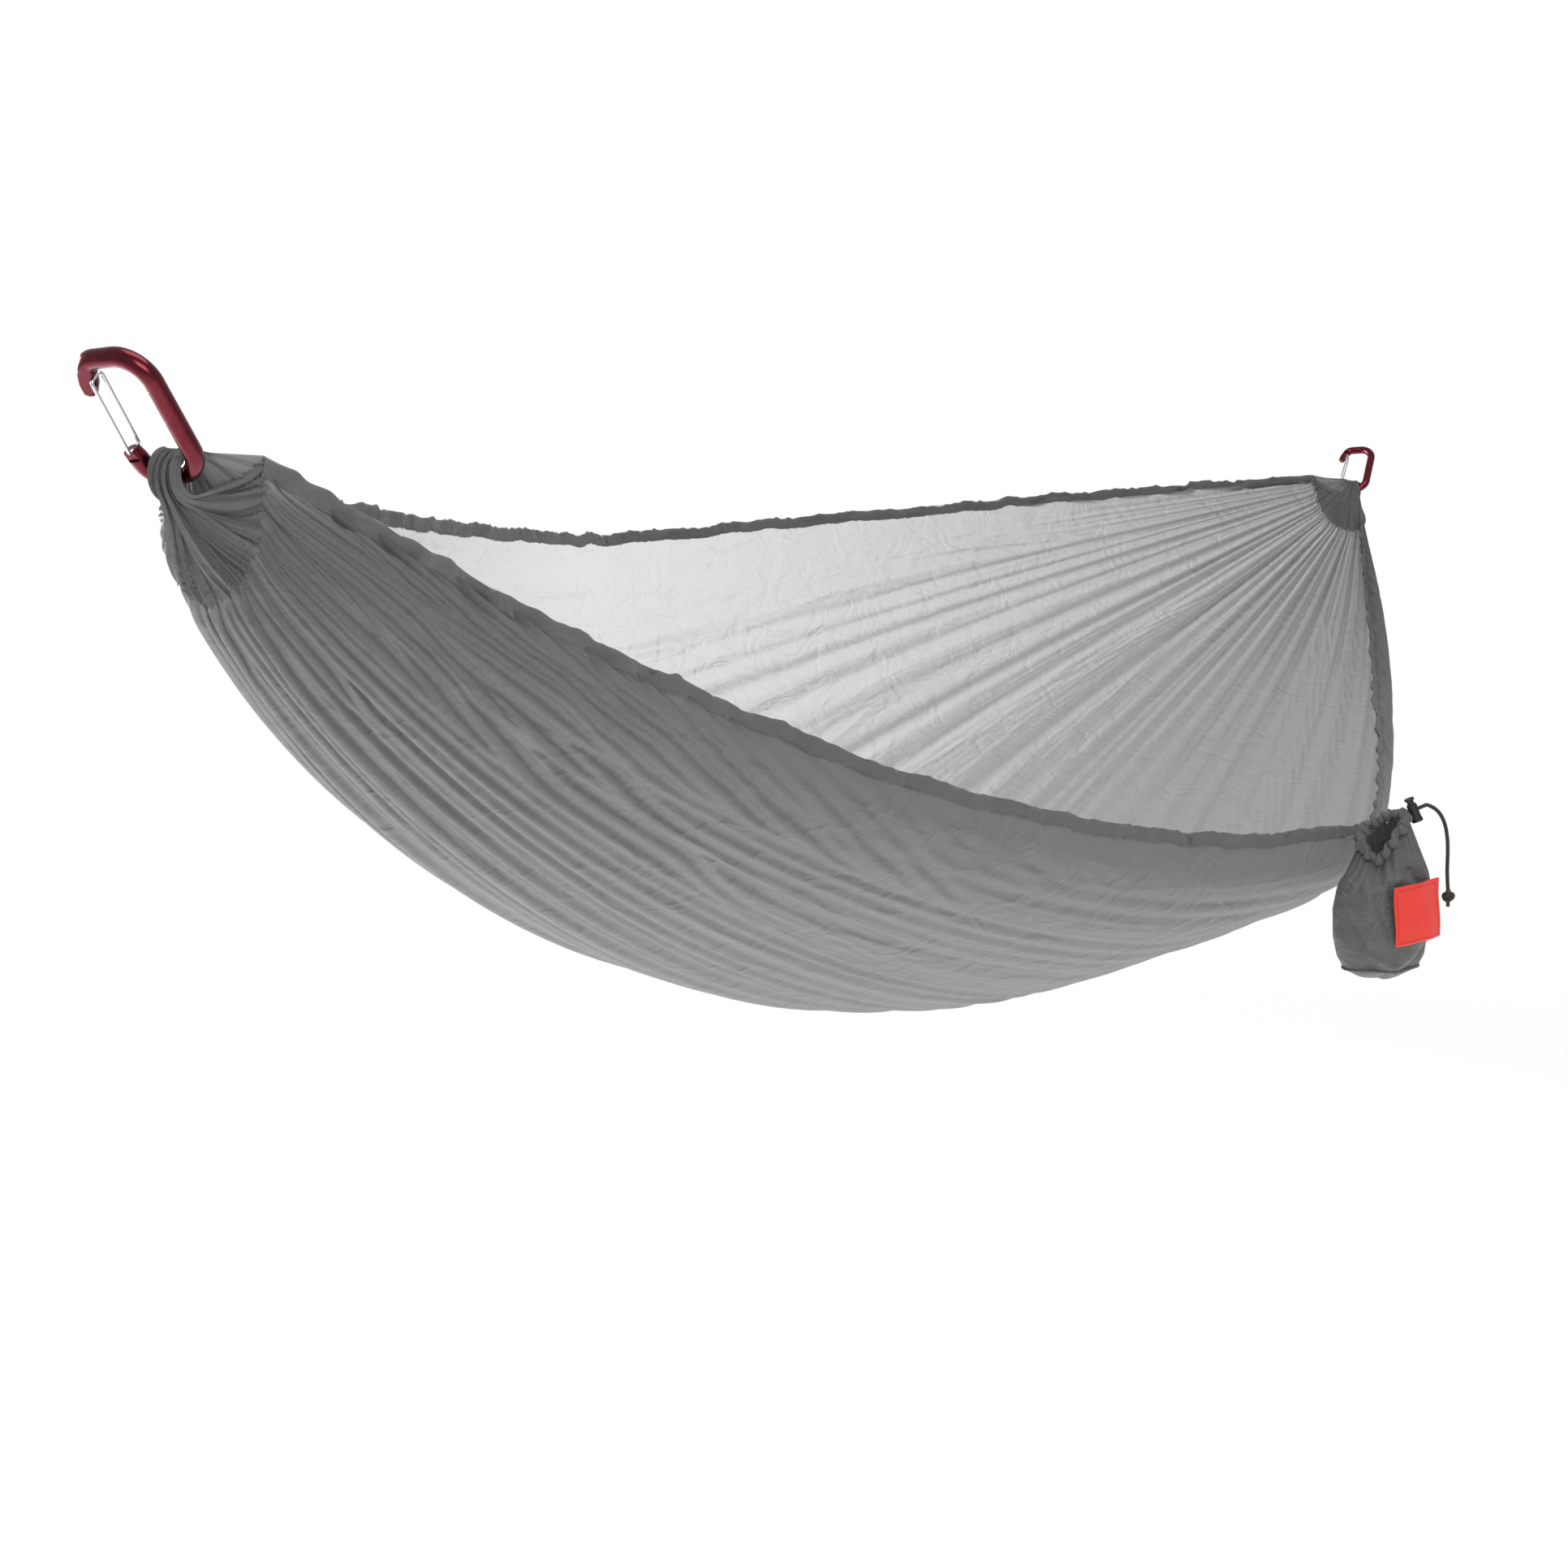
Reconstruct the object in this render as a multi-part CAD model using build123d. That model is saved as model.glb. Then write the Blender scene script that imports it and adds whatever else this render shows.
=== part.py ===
"""Gathered-end camping hammock: ripstop bed, two wire-gate carabiners and the stuff sack sewn to its edge.

Millimetres. +X runs along the hammock, +Y to its far (high) edge, +Z up. The origin is the point inside
the left carabiner's top bend where a suspension strap bears.
"""

from build123d import *
from math import cos, radians, sin, sqrt
import os

# ---- driving dimensions -------------------------------------------------------------------------
SPAN = 2400.0  # between the two places where the sleeves bear on the carabiners
CARABINER_ANGLE = 50.0  # how far the load axis rises above the horizontal
CARABINER_REACH = 60.0  # inside length, basket to top bend
ROD_RADIUS = 4.75
SPINE_Y = -18.5
NOSE_Y = 18.5
NOSE_RADIUS = 3.2
WIRE_RADIUS = 0.9
GATE_HALF_WIDTH = 4.4
GATE_BASE = (11.0, 14.5)  # along the load axis, across the carabiner
GATE_TIP = (53.0, 13.0)
GATE_BENDS = (1.2, 2.4)
ROD_BENDS = (8.0, 15.0, 15.0, 8.0)
BASE_TAPER = (5.0, 6.0)  # length and angle of the rod's rounded-off foot
NOSE_TAPER = (6.0, 12.0)
TONGUE_DEPTH = 4.0  # of material taken off each face
WIRE_PLAY = 0.05
CUT = 200.0  # longer than anything that it cuts

FABRIC = 1.0  # thickness of the bed's closed solid; the cloth itself is 0.05
HEM_WIDTH = 11.0
HEM_THICKNESS = 2.4
HEM_GAP = 0.3
THREAD_WIDTH = 1.0
THREAD_PROUD = 0.55  # of the surface that it is sewn on
THREAD_GAP = 0.05
HEM_THREAD_SETBACK = 2.4  # from the hem's inner edge
BED_SECTIONS = 15
SLEEVE_LENGTH = 42.0  # from the carabiner's rod to the sleeve's stitch rows
SLEEVE_RADIUS = 17.0
SLEEVE_HALF_WIDTH = 10.5
SLEEVE_SHIFT = -2.0  # towards the spine, because the rod's straight stretch lies there
SLEEVE_CROWN = 4.0  # how far the ring's rounded outside bulges
SLEEVE_BORE = 5.3
SLEEVE_MOUTH = 10.4
SLEEVE_THREADS = (35.5, 39.5)  # the two rows, from the bearing point
SLEEVE_THREAD_MARGIN = 3.0  # between a row's ends and the sheet's edges
FAN_ROWS = ((17.0, 9.0), (24.0, 6.5), (33.0, 4.5), (SLEEVE_LENGTH, 3.0))  # station, thickness
ROOT_STATION = 19.0  # where the bunched root is widest
ROOT_LENGTH = 9.0
ROOT_NECK = 18.0  # square
ROOT_WIDE = (26.0, 34.0)

# Cross-section of the bed: a cubic curve across the hammock whose four control points run out from the
# gathered ends to a peak and back. Each row is the peak (x, y, z), the ends (y, left z, right z) and
# the exponents of the fall-off (y left, y right, z left, z right), measured from the left bearing.
NEAR_EDGE = ((1215.0, -301.0, -291.0), (-12.0, 27.0, -20.0), (1.12, 1.12, 1.97, 2.2))
NEAR_BELLY = ((1250.0, -365.0, -395.0), (-14.0, -60.0, -50.0), (1.3, 2.4, 2.4, 1.3))
FAR_BELLY = ((950.0, 390.0, -673.0), (14.0, -60.0, -50.0), (2.4, 1.85, 1.35, 1.3))
FAR_EDGE = ((1180.0, 440.0, -50.0), (12.0, 4.0, 18.0), (1.25, 2.0, 1.25, 1.25))

# Places on the stuff sack, measured from the left bearing.
SACK_HINGE = (1130.0, -305.4, -297.0)
SACK_MOUTH = (1130.0, -328.8, -290.0)
MOUTH_HALF_LENGTH = 24.0
MOUTH_HALF_WIDTH = 16.0
MOUTH_RISE = (0.68, 0.20)  # how the mouth's plane rises along its long and short axes
CHANNEL_RADIUS = 3.4
SACK_WALL = 1.2
SACK_FLOOR = 110.0
WALL_TOP = CHANNEL_RADIUS + 1.2  # the wall's top below the mouth's plane
WALL_OVERRUN = 2.0
# drop below the mouth, half width, half depth, shift to the front
SACK_RIBS = (
    (36.0, 38.0, 27.0, 1.0),
    (64.0, 43.5, 31.0, 2.0),
    (90.0, 42.0, 31.0, 2.0),
    (SACK_FLOOR, 36.0, 26.5, 1.0),
)
TAB_SIZE = (16.0, 7.2, 1.2)
TAB_OVERHANG = 0.3  # of the tab, beyond the hinge
CORD_RADIUS = 1.6
BASE_SIZES = (1.5, 13.0, 11.0)  # inset of the rim, then of the low part along and across
BASE_DEPTH = 9.0
BASE_DROP = 2.8  # of the panel's rim below the wall
SEAM_SIZE = (0.6, 1.2, 2.4)  # outward, inward, height
LABEL_SIZE = (52.0, 50.0, 0.8)
LABEL_PLACE = (64.0, 32.6, 17.0)  # below the mouth, to the front, along the wide axis
LABEL_RISE = 0.10
LABEL_MARGIN = 2.5  # from the label's edge to its thread
LABEL_THREAD = 0.6
LABEL_TURN = 12.0  # towards the wide axis, so that it lies along the rounded wall
LOCK_RADIUS = 4.3
LOCK_LENGTH = 15.0
LOCK_TOP = -5.0  # of the barrel, from the cord's axis
LOCK_RIM = (0.45, 2.4)  # foot's rim: outward and height
LOCK_FLOOR = 1.4
LOCK_BORE = CORD_RADIUS + 0.35
PLUNGER_RADIUS = 2.9
PLUNGER_TRAVEL = 3.0
PLUNGER_HEAD = (4.1, 1.8)  # radius and height
PLUNGER_FOOT = 3.4  # below the cord's axis
SPRING = (1.4, 4.2, 1.9, 0.3)  # pitch, height, coil radius, wire radius
SPRING_START = 4.0
DRAWCORD_GAP = 7.0  # degrees each way round the mouth
KNOT_RADIUS = 5.2
KNOT_STUB = 4.0

# ---- shared frame -------------------------------------------------------------------------------
ANGLE = radians(CARABINER_ANGLE)
BEARING = (CARABINER_REACH * cos(ANGLE), 0.0, -CARABINER_REACH * sin(ANGLE))


def fall_off(x, profile):
    """Control point (y, z) of one of the four profiles at x millimetres from the left bearing."""
    (peak_x, peak_y, peak_z), (end_y, left_z, right_z), powers = profile
    left = x < peak_x
    share = (peak_x - x) / peak_x if left else (x - peak_x) / (SPAN - peak_x)
    y_power, z_power = (powers[0], powers[2]) if left else (powers[1], powers[3])
    end_z = left_z if left else right_z
    y = end_y + (peak_y - end_y) * (1 - share**y_power)
    z = end_z + (peak_z - end_z) * (1 - share**z_power)
    return y, z


def section_points(x):
    """The section's four control points, as 2-D vectors."""
    profiles = (NEAR_EDGE, NEAR_BELLY, FAR_BELLY, FAR_EDGE)
    return [Vector(*fall_off(x, profile)) for profile in profiles]


def inward(a, b):
    """Unit normal of the leg a-b that points to the inside of the trough."""
    leg = (b - a).normalized()
    return Vector(-leg.Y, leg.X)


def offset_polygon(points, distance):
    """The control polygon moved inward by distance, mitred at its corners."""
    normals = [inward(a, b) for a, b in zip(points, points[1:])]
    moved = [points[0] + normals[0] * distance]
    for point, before, after in zip(points[1:], normals, normals[1:]):
        bisector = (before + after).normalized()
        moved.append(point + bisector * (distance / bisector.dot(after)))
    moved.append(points[-1] + normals[-1] * distance)
    return moved


def in_space(x, points):
    """2-D section points placed at station x of the hammock."""
    return [(BEARING[0] + x, p.X, BEARING[2] + p.Y) for p in points]


def trough_face(x, thickness, setback, proud=0.0):
    """One closed section of the bed's sheet, from edge to edge: thickness inward, proud outward."""
    points = section_points(x)
    near = (points[1] - points[0]).normalized()
    far = (points[2] - points[3]).normalized()
    points[0] = points[0] + near * setback
    points[3] = points[3] + far * setback
    outer = offset_polygon(points, -proud)
    inner = offset_polygon(points, thickness)
    outside = Bezier(*in_space(x, outer))
    inside = Bezier(*in_space(x, inner[::-1]))
    ends = [Line(outside @ 1, inside @ 0), Line(inside @ 1, outside @ 0)]
    return Face(Wire([outside, ends[0], inside, ends[1]]))


def edge_strip_face(x, near_side, start, width, inner, outer):
    """Rectangle on one long edge: start and width run down the fabric, inner and outer across it."""
    points = section_points(x)
    if not near_side:
        points = points[::-1]
    down = (points[1] - points[0]).normalized()
    across = Vector(-down.Y, down.X) * (1 if near_side else -1)
    top = points[0] + down * start
    corners = [top - across * outer, top + across * inner]
    corners += [corner + down * width for corner in corners[::-1]]
    return Face(Wire.make_polygon([Vector(*c) for c in in_space(x, corners)], close=True))


def stations():
    """Stations along the bed between its sleeves, closer together towards its ends."""
    half = SPAN / 2 - SLEEVE_LENGTH - HEM_GAP
    turns = [180.0 * i / (BED_SECTIONS - 1) for i in range(BED_SECTIONS)]
    return [SPAN / 2 - half * cos(radians(turn)) for turn in turns]


def skin(faces):
    """Solid through a row of sections."""
    return Solid.make_loft([face.outer_wire() for face in faces])


# ---- bed ----------------------------------------------------------------------------------------
def bed_fabric():
    return skin([trough_face(x, FABRIC, HEM_WIDTH + HEM_GAP) for x in stations()])


def edge_hem(near_side):
    half = HEM_THICKNESS / 2
    return skin([edge_strip_face(x, near_side, 0, HEM_WIDTH, half, half) for x in stations()])


def hem_stitching(near_side):
    """One thread row on the outside of the hem."""
    start = HEM_WIDTH - HEM_THREAD_SETBACK
    inner = -HEM_THICKNESS / 2 - THREAD_GAP
    outer = HEM_THICKNESS / 2 + THREAD_PROUD
    return skin([edge_strip_face(x, near_side, start, THREAD_WIDTH, inner, outer) for x in stations()])


def bearing_point(left):
    return (BEARING[0], 0, BEARING[2]) if left else (BEARING[0] + SPAN, 0, BEARING[2])


def carabiner_plane(left):
    """Plane whose local x is the load axis from the basket to the top bend, and local y is +Y."""
    side = -1 if left else 1
    load = Vector(side * cos(ANGLE), 0, sin(ANGLE))
    return Plane(origin=bearing_point(left), x_dir=load, z_dir=load.cross(Vector(0, 1, 0)))


def rod_centre(left):
    """Middle of the bunched sleeve on the basket's rod, on the axis about which the carabiner turns."""
    return carabiner_plane(left).from_local_coords(Vector(-ROD_RADIUS, SLEEVE_SHIFT, 0))


def sleeve_ring(left):
    """The bunched sleeve round the carabiner's rod, with a flared way through for it."""
    half = SLEEVE_HALF_WIDTH
    shoulder = SLEEVE_RADIUS - SLEEVE_CROWN
    profile = [
        ThreePointArc((SLEEVE_MOUTH, -half), (SLEEVE_BORE, 0), (SLEEVE_MOUTH, half)),
        Line((SLEEVE_MOUTH, half), (shoulder, half)),
        ThreePointArc((shoulder, half), (SLEEVE_RADIUS, 0), (shoulder, -half)),
        Line((shoulder, -half), (SLEEVE_MOUTH, -half)),
    ]
    return revolve(Face(Wire(profile)), axis=Axis.Y).translate(rod_centre(left))


def from_end(x, left):
    """Station at x millimetres from the left or the right bearing."""
    return x if left else SPAN - x


def sleeve_fan(left):
    """Doubled and crumpled fabric between the ring and the stitch rows."""
    return skin([trough_face(from_end(x, left), thickness, 0) for x, thickness in FAN_ROWS])


def fan_root(left):
    """Plug of bunched fabric that joins the ring to the fan's narrow end."""
    inward_x = 1 if left else -1
    x, _, z = bearing_point(left)
    low = min(p.Y for p in section_points(from_end(ROOT_STATION, left)))
    wide_x = x + inward_x * ROOT_STATION
    facing = {"x_dir": (0, 1, 0), "z_dir": (inward_x, 0, 0)}
    neck = Plane(origin=(wide_x - inward_x * ROOT_LENGTH, 0, z - 3.0), **facing)
    wide = Plane(origin=(wide_x, 0, z + 0.45 * low), **facing)
    faces = [neck * Rectangle(ROOT_NECK, ROOT_NECK), wide * Rectangle(*ROOT_WIDE)]
    return skin([face.face() for face in faces])


def carabiner_clearance(left):
    """Space that the carabiner's rod and gate sweep at the sleeve."""
    centre = rod_centre(left)
    bore = Cylinder(SLEEVE_MOUTH, CUT / 2, rotation=(90, 0, 0)).translate(centre)
    half = SLEEVE_HALF_WIDTH
    side = bore - Box(CUT, 2 * half, CUT).translate(centre)
    profile = [
        ThreePointArc((SLEEVE_MOUTH, -half), (SLEEVE_BORE, 0), (SLEEVE_MOUTH, half)),
        Line((SLEEVE_MOUTH, half), (0, half)),
        Line((0, half), (0, -half)),
        Line((0, -half), (SLEEVE_MOUTH, -half)),
    ]
    return side + revolve(Face(Wire(profile)), axis=Axis.Y).translate(centre)


def end_channel(left):
    body = sleeve_ring(left) + fan_root(left) + sleeve_fan(left)
    return body - carabiner_clearance(left)


def channel_stitching(left):
    """Two thread rows across the outside of the sleeve, just inside its sewn end."""
    rows = []
    for x in SLEEVE_THREADS:
        ends = [from_end(x + step, left) for step in (0.0, THREAD_WIDTH)]
        faces = [
            trough_face(end, -THREAD_GAP, SLEEVE_THREAD_MARGIN, proud=THREAD_GAP + THREAD_PROUD)
            for end in ends
        ]
        rows.append(skin(faces))
    return Compound(children=rows)


# ---- carabiners ---------------------------------------------------------------------------------
def carabiner_body(left):
    plane = carabiner_plane(left)
    rod = -ROD_RADIUS
    top = CARABINER_REACH + ROD_RADIUS
    route = [
        (GATE_BASE[0] - 5.0, NOSE_Y - 3.2),
        (rod, NOSE_Y - 6.0),
        (rod, SPINE_Y),
        (top, SPINE_Y),
        (top - 2.5, NOSE_Y - 5.0),
        (GATE_TIP[0] - 3.0, NOSE_Y),
    ]
    line = FilletPolyline(*route, radius=list(ROD_BENDS))
    start = Plane(origin=line @ 0, z_dir=line % 0)
    body = sweep(start * Circle(ROD_RADIUS), path=line)
    base_end = Plane(origin=line @ 0, z_dir=(line % 0) * -1)
    base_tip = extrude(base_end * Circle(ROD_RADIUS), BASE_TAPER[0], taper=BASE_TAPER[1])
    nose = Plane(origin=line @ 1, z_dir=line % 1)
    nose_tip = extrude(nose * Circle(ROD_RADIUS), NOSE_TAPER[0], taper=NOSE_TAPER[1])
    body = body + base_tip + nose_tip
    body -= gate_relief(GATE_BASE, 10.0, 12.0)
    body -= gate_relief((GATE_TIP[0] - 2.0, NOSE_Y - 1.5), 14.0, 14.0)
    for side in (-1, 1):
        pin_hole = Cylinder(WIRE_RADIUS + WIRE_PLAY, 2.2)
        body -= pin_hole.translate((*GATE_BASE, side * (NOSE_RADIUS - 0.9)))
    notch = Cylinder(WIRE_RADIUS + 3 * WIRE_PLAY, 20.0)
    body -= notch.translate((*GATE_TIP, 0))
    way_in = Box(3.0, 3.4, 20.0)
    body -= way_in.translate((GATE_TIP[0], GATE_TIP[1] - 1.7, 0))
    return plane * body


def gate_relief(centre, length, width):
    """Material taken off both faces so that the wire's legs straddle a thinner tongue."""
    slabs = []
    for side in (-1, 1):
        slab = Box(length, width, TONGUE_DEPTH)
        slabs.append(slab.translate((*centre, side * (NOSE_RADIUS + TONGUE_DEPTH / 2))))
    return slabs[0] + slabs[1]


def gate_wire(left):
    """Sprung wire loop: two legs on the base's faces, joined over the nose's notch."""
    plane = carabiner_plane(left)
    base = Vector(*GATE_BASE, 0)
    tip = Vector(*GATE_TIP, 0)
    out = Vector(0, 0, GATE_HALF_WIDTH)
    pin = Vector(0, 0, NOSE_RADIUS - 1.6)
    route = [base - pin, base - out, tip - out, tip + out, base + out, base + pin]
    line = FilletPolyline(*route, radius=[*GATE_BENDS, *GATE_BENDS[::-1]])
    start = Plane(origin=line @ 0, z_dir=line % 0)
    return plane * sweep(start * Circle(WIRE_RADIUS), path=line)


# ---- stuff sack ---------------------------------------------------------------------------------
DIAGONAL = sqrt(0.5)
ACROSS = Vector(DIAGONAL, -DIAGONAL, 0)  # the sack's wide axis, level
FRONT = Vector(-DIAGONAL, -DIAGONAL, 0)  # the way that its label faces
MOUTH_CENTRE = Vector(*SACK_MOUTH) + Vector(*BEARING)


def mouth_plane(drop=0.0):
    gradient = ACROSS * MOUTH_RISE[0] - FRONT * MOUTH_RISE[1]
    along = ACROSS + Vector(0, 0, MOUTH_RISE[0])
    normal = Vector(0, 0, 1) - gradient
    return Plane(origin=MOUTH_CENTRE - Vector(0, 0, drop), x_dir=along, z_dir=normal)


def level_plane(drop, shift=0.0):
    origin = MOUTH_CENTRE - Vector(0, 0, drop) + FRONT * shift
    return Plane(origin=origin, x_dir=ACROSS, z_dir=(0, 0, 1))


def sack_form(inset):
    """Outer or, with an inset, inner form of the sack's wall, a little longer than the wall."""
    ribs = [*SACK_RIBS[:-1], (SACK_FLOOR + WALL_OVERRUN, *SACK_RIBS[-1][1:])]
    faces = [level_plane(d, s) * Ellipse(a - inset, b - inset) for d, a, b, s in ribs[::-1]]
    mouth = Ellipse(MOUTH_HALF_LENGTH - inset, MOUTH_HALF_WIDTH - inset)
    faces.append(mouth_plane(WALL_TOP - WALL_OVERRUN) * mouth)
    return skin([face.face() for face in faces])


def sack_body():
    above = extrude(mouth_plane(WALL_TOP) * Rectangle(CUT, CUT), CUT)
    below = extrude(level_plane(SACK_FLOOR) * Rectangle(CUT, CUT), -CUT)
    return sack_form(0.0) - above - below - sack_form(SACK_WALL)


def sack_base():
    """Slack, slightly domed base panel."""
    _, a, b, shift = SACK_RIBS[-1]
    inset, low_a, low_b = BASE_SIZES
    plane = level_plane(SACK_FLOOR + BASE_DROP, shift)
    rim = plane * Ellipse(a - inset, b - inset)
    low = plane.offset(-BASE_DEPTH) * Ellipse(a - low_a, b - low_b)
    return skin([low.face(), rim.face()])


def sack_base_seam():
    """Folded seam allowance between the wall and the base."""
    _, a, b, shift = SACK_RIBS[-1]
    out, into, height = SEAM_SIZE
    plane = level_plane(SACK_FLOOR + BASE_DROP - 0.2, shift)
    ring = plane * (Ellipse(a + out, b + out) - Ellipse(a - into, b - into))
    return extrude(ring, height)


def mouth_ring(radius, gap=0.0):
    """Round tube along the mouth, with a gap in degrees each way at its high end."""
    angles = {"start_angle": gap, "end_angle": 360.0 - gap}
    line = mouth_plane() * Edge.make_ellipse(MOUTH_HALF_LENGTH, MOUTH_HALF_WIDTH, **angles)
    start = Plane(origin=line @ 0, z_dir=line % 0)
    return sweep(start * Circle(radius), path=line)


def eyelet(radius):
    """Way out for the tail, from the cord inside the channel to the open."""
    start = Plane(origin=EYELET + CORD_OUT * (CORD_RADIUS - 0.3), x_dir=LOCK_AXIS, z_dir=CORD_OUT)
    return extrude(start * Circle(radius), 2 * CHANNEL_RADIUS)


def mouth_channel():
    """Fabric sleeve along the mouth, hollow for the drawcord, with an eyelet at its high end."""
    return mouth_ring(CHANNEL_RADIUS) - mouth_ring(CORD_RADIUS + 0.1) - eyelet(CORD_RADIUS + 0.3)


def sack_drawcord():
    """The cord inside the channel, whose two ends meet at the eyelet."""
    return mouth_ring(CORD_RADIUS, gap=DRAWCORD_GAP)


def sack_label():
    """Flat woven label, tacked to the front of the wall."""
    return label_plane() * Box(*LABEL_SIZE)


def label_plane():
    """Upright plane through the label's middle, whose x rises to the sack's high side."""
    turn = radians(LABEL_TURN)
    drop, to_front, to_side = LABEL_PLACE
    facing = FRONT * cos(turn) + ACROSS * sin(turn)
    along = ACROSS * cos(turn) - FRONT * sin(turn) + Vector(0, 0, LABEL_RISE)
    centre = MOUTH_CENTRE - Vector(0, 0, drop) + FRONT * to_front + ACROSS * to_side
    normal = facing - along * (facing.dot(along) / along.dot(along))
    return Plane(origin=centre, x_dir=along, z_dir=normal)


def label_stitching():
    """Thread frame round the label's face."""
    width, height, thickness = LABEL_SIZE
    outside = 2 * LABEL_MARGIN
    inside = outside + 2 * LABEL_THREAD
    frame = Rectangle(width - outside, height - outside) - Rectangle(width - inside, height - inside)
    plane = label_plane().offset(thickness / 2 + THREAD_GAP)
    return extrude(plane * frame, THREAD_PROUD - THREAD_GAP)


def attachment_tab():
    """Short webbing tab from the near hem to the back of the sack's mouth."""
    hinge = Vector(*SACK_HINGE) + Vector(*BEARING)
    return Box(*TAB_SIZE).translate(hinge + Vector(0, TAB_SIZE[1] / 2 - TAB_OVERHANG, 0))


# ---- drawcord tail and cord lock ----------------------------------------------------------------
LOCK_AXIS = Vector(0.17, -0.351, -0.92).normalized()  # from the plunger's head to the barrel's foot
SIDEWAYS = Vector(0.4346, -0.9007, 0).normalized()  # level, out from the sack's high end
CORD_OUT = (SIDEWAYS - LOCK_AXIS * SIDEWAYS.dot(LOCK_AXIS)).normalized()
EYELET = mouth_plane().from_local_coords(Vector(MOUTH_HALF_LENGTH, 0, 0))
CORD_START = EYELET + CORD_OUT * CORD_RADIUS
LOCK_CENTRE = EYELET + CORD_OUT * (CHANNEL_RADIUS + 0.4 + LOCK_RADIUS)
# The tail's route from the lock's middle: out sideways, up.
TAIL_ROUTE = (
    (11.5, 4.87),
    (20.5, 0.0),
    (26.5, -10.0),
    (29.3, -24.0),
    (29.8, -38.5),
    (29.5, -53.0),
    (30.8, -67.0),
)


def tail_points():
    points = [CORD_START]
    points += [LOCK_CENTRE + SIDEWAYS * out + Vector(0, 0, up) for out, up in TAIL_ROUTE]
    return points


def tail_radii(points):
    """Each arc as large as its two runs allow."""
    radii = []
    for before, corner, after in zip(points, points[1:], points[2:]):
        turn = (corner - before).get_angle(after - corner)
        shorter = min((corner - before).length, (after - corner).length)
        radii.append(0.45 * shorter * cos(radians(turn / 2)) / sin(radians(turn / 2)))
    return radii


def drawcord_tail():
    points = tail_points()
    line = FilletPolyline(*points, radius=tail_radii(points))
    start = Plane(origin=line @ 0, z_dir=line % 0)
    return sweep(start * Circle(CORD_RADIUS), path=line)


def drawcord_knot():
    """Overhand stopper knot with its short stub, flattened where the tail enters it."""
    *_, before, end = tail_points()
    way = (end - before).normalized()
    centre = end + way * KNOT_RADIUS
    ball = Sphere(KNOT_RADIUS).translate(centre)
    stub = extrude(Plane(origin=centre, z_dir=way) * Circle(CORD_RADIUS), KNOT_RADIUS + KNOT_STUB)
    face = Plane(origin=end + way * 0.5, z_dir=way * -1)
    cut = extrude(face * Circle(2 * KNOT_RADIUS), KNOT_RADIUS)
    plug = extrude(Plane(origin=end, z_dir=way) * Circle(CORD_RADIUS), 1.0)
    return ball + stub - cut + plug


def lock_plane():
    """Local z runs down the barrel; local x is the way that the cord leaves."""
    return Plane(origin=LOCK_CENTRE, x_dir=CORD_OUT, z_dir=LOCK_AXIS)


def cord_lock_barrel():
    """Moulded cup, open at its top for the plunger, with a cross hole for the cord."""
    foot = LOCK_TOP + LOCK_LENGTH
    body = Pos(0, 0, LOCK_TOP) * extrude(Circle(LOCK_RADIUS), LOCK_LENGTH)
    rim = Pos(0, 0, foot - LOCK_RIM[1]) * extrude(Circle(LOCK_RADIUS + LOCK_RIM[0]), LOCK_RIM[1])
    depth = LOCK_LENGTH - LOCK_FLOOR + 1.0
    cup = Pos(0, 0, LOCK_TOP - 1.0) * extrude(Circle(PLUNGER_RADIUS + 0.1), depth)
    return lock_plane() * (body + rim - cup - cord_way())


def cord_way():
    """The cross hole for the cord."""
    return Rotation(0, 90, 0) * Cylinder(LOCK_BORE, CUT)


def cord_lock_plunger():
    """Push button: a flanged head on a stem with its own cross hole, longer by the travel."""
    radius, height = PLUNGER_HEAD
    neck = LOCK_TOP - PLUNGER_TRAVEL - 0.8
    head = Pos(0, 0, neck - height) * extrude(Circle(radius), height)
    stem = Pos(0, 0, neck) * extrude(Circle(PLUNGER_RADIUS), PLUNGER_FOOT - neck)
    low = Pos(0, 0, -PLUNGER_TRAVEL) * cord_way()
    between = Pos(0, 0, -PLUNGER_TRAVEL / 2) * Box(CUT, 2 * LOCK_BORE, PLUNGER_TRAVEL)
    return lock_plane() * (head + stem - cord_way() - low - between)


def cord_lock_spring():
    """Small compression coil between the plunger's foot and the barrel's floor."""
    pitch, height, radius, wire = SPRING
    helix = Helix(pitch=pitch, height=height, radius=radius)
    start = Plane(origin=helix @ 0, z_dir=helix % 0)
    coil = sweep(start * Circle(wire), path=helix, is_frenet=True)
    return lock_plane() * (Pos(0, 0, SPRING_START) * coil)


# ---- write --------------------------------------------------------------------------------------
def write(name, shape):
    export_step(shape, f"parts/{name}.step")


os.makedirs("parts", exist_ok=True)
write("bed_fabric", bed_fabric())
for side, near_side in (("near", True), ("far", False)):
    write(f"{side}_edge_hem", edge_hem(near_side))
    write(f"{side}_hem_stitching", hem_stitching(near_side))
for side, left in (("left", True), ("right", False)):
    write(f"{side}_end_channel", end_channel(left))
    write(f"{side}_channel_stitching", channel_stitching(left))
    write(f"{side}_carabiner_body", carabiner_body(left))
    write(f"{side}_gate_wire", gate_wire(left))
write("sack_attachment_tab", attachment_tab())
write("sack_body", sack_body())
write("sack_base", sack_base())
write("sack_base_seam", sack_base_seam())
write("sack_mouth_channel", mouth_channel())
write("sack_drawcord", sack_drawcord())
write("drawcord_tail", drawcord_tail())
write("drawcord_knot", drawcord_knot())
write("sack_label", sack_label())
write("label_stitching", label_stitching())
write("cord_lock_barrel", cord_lock_barrel())
write("cord_lock_plunger", cord_lock_plunger())
write("cord_lock_spring", cord_lock_spring())
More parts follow.
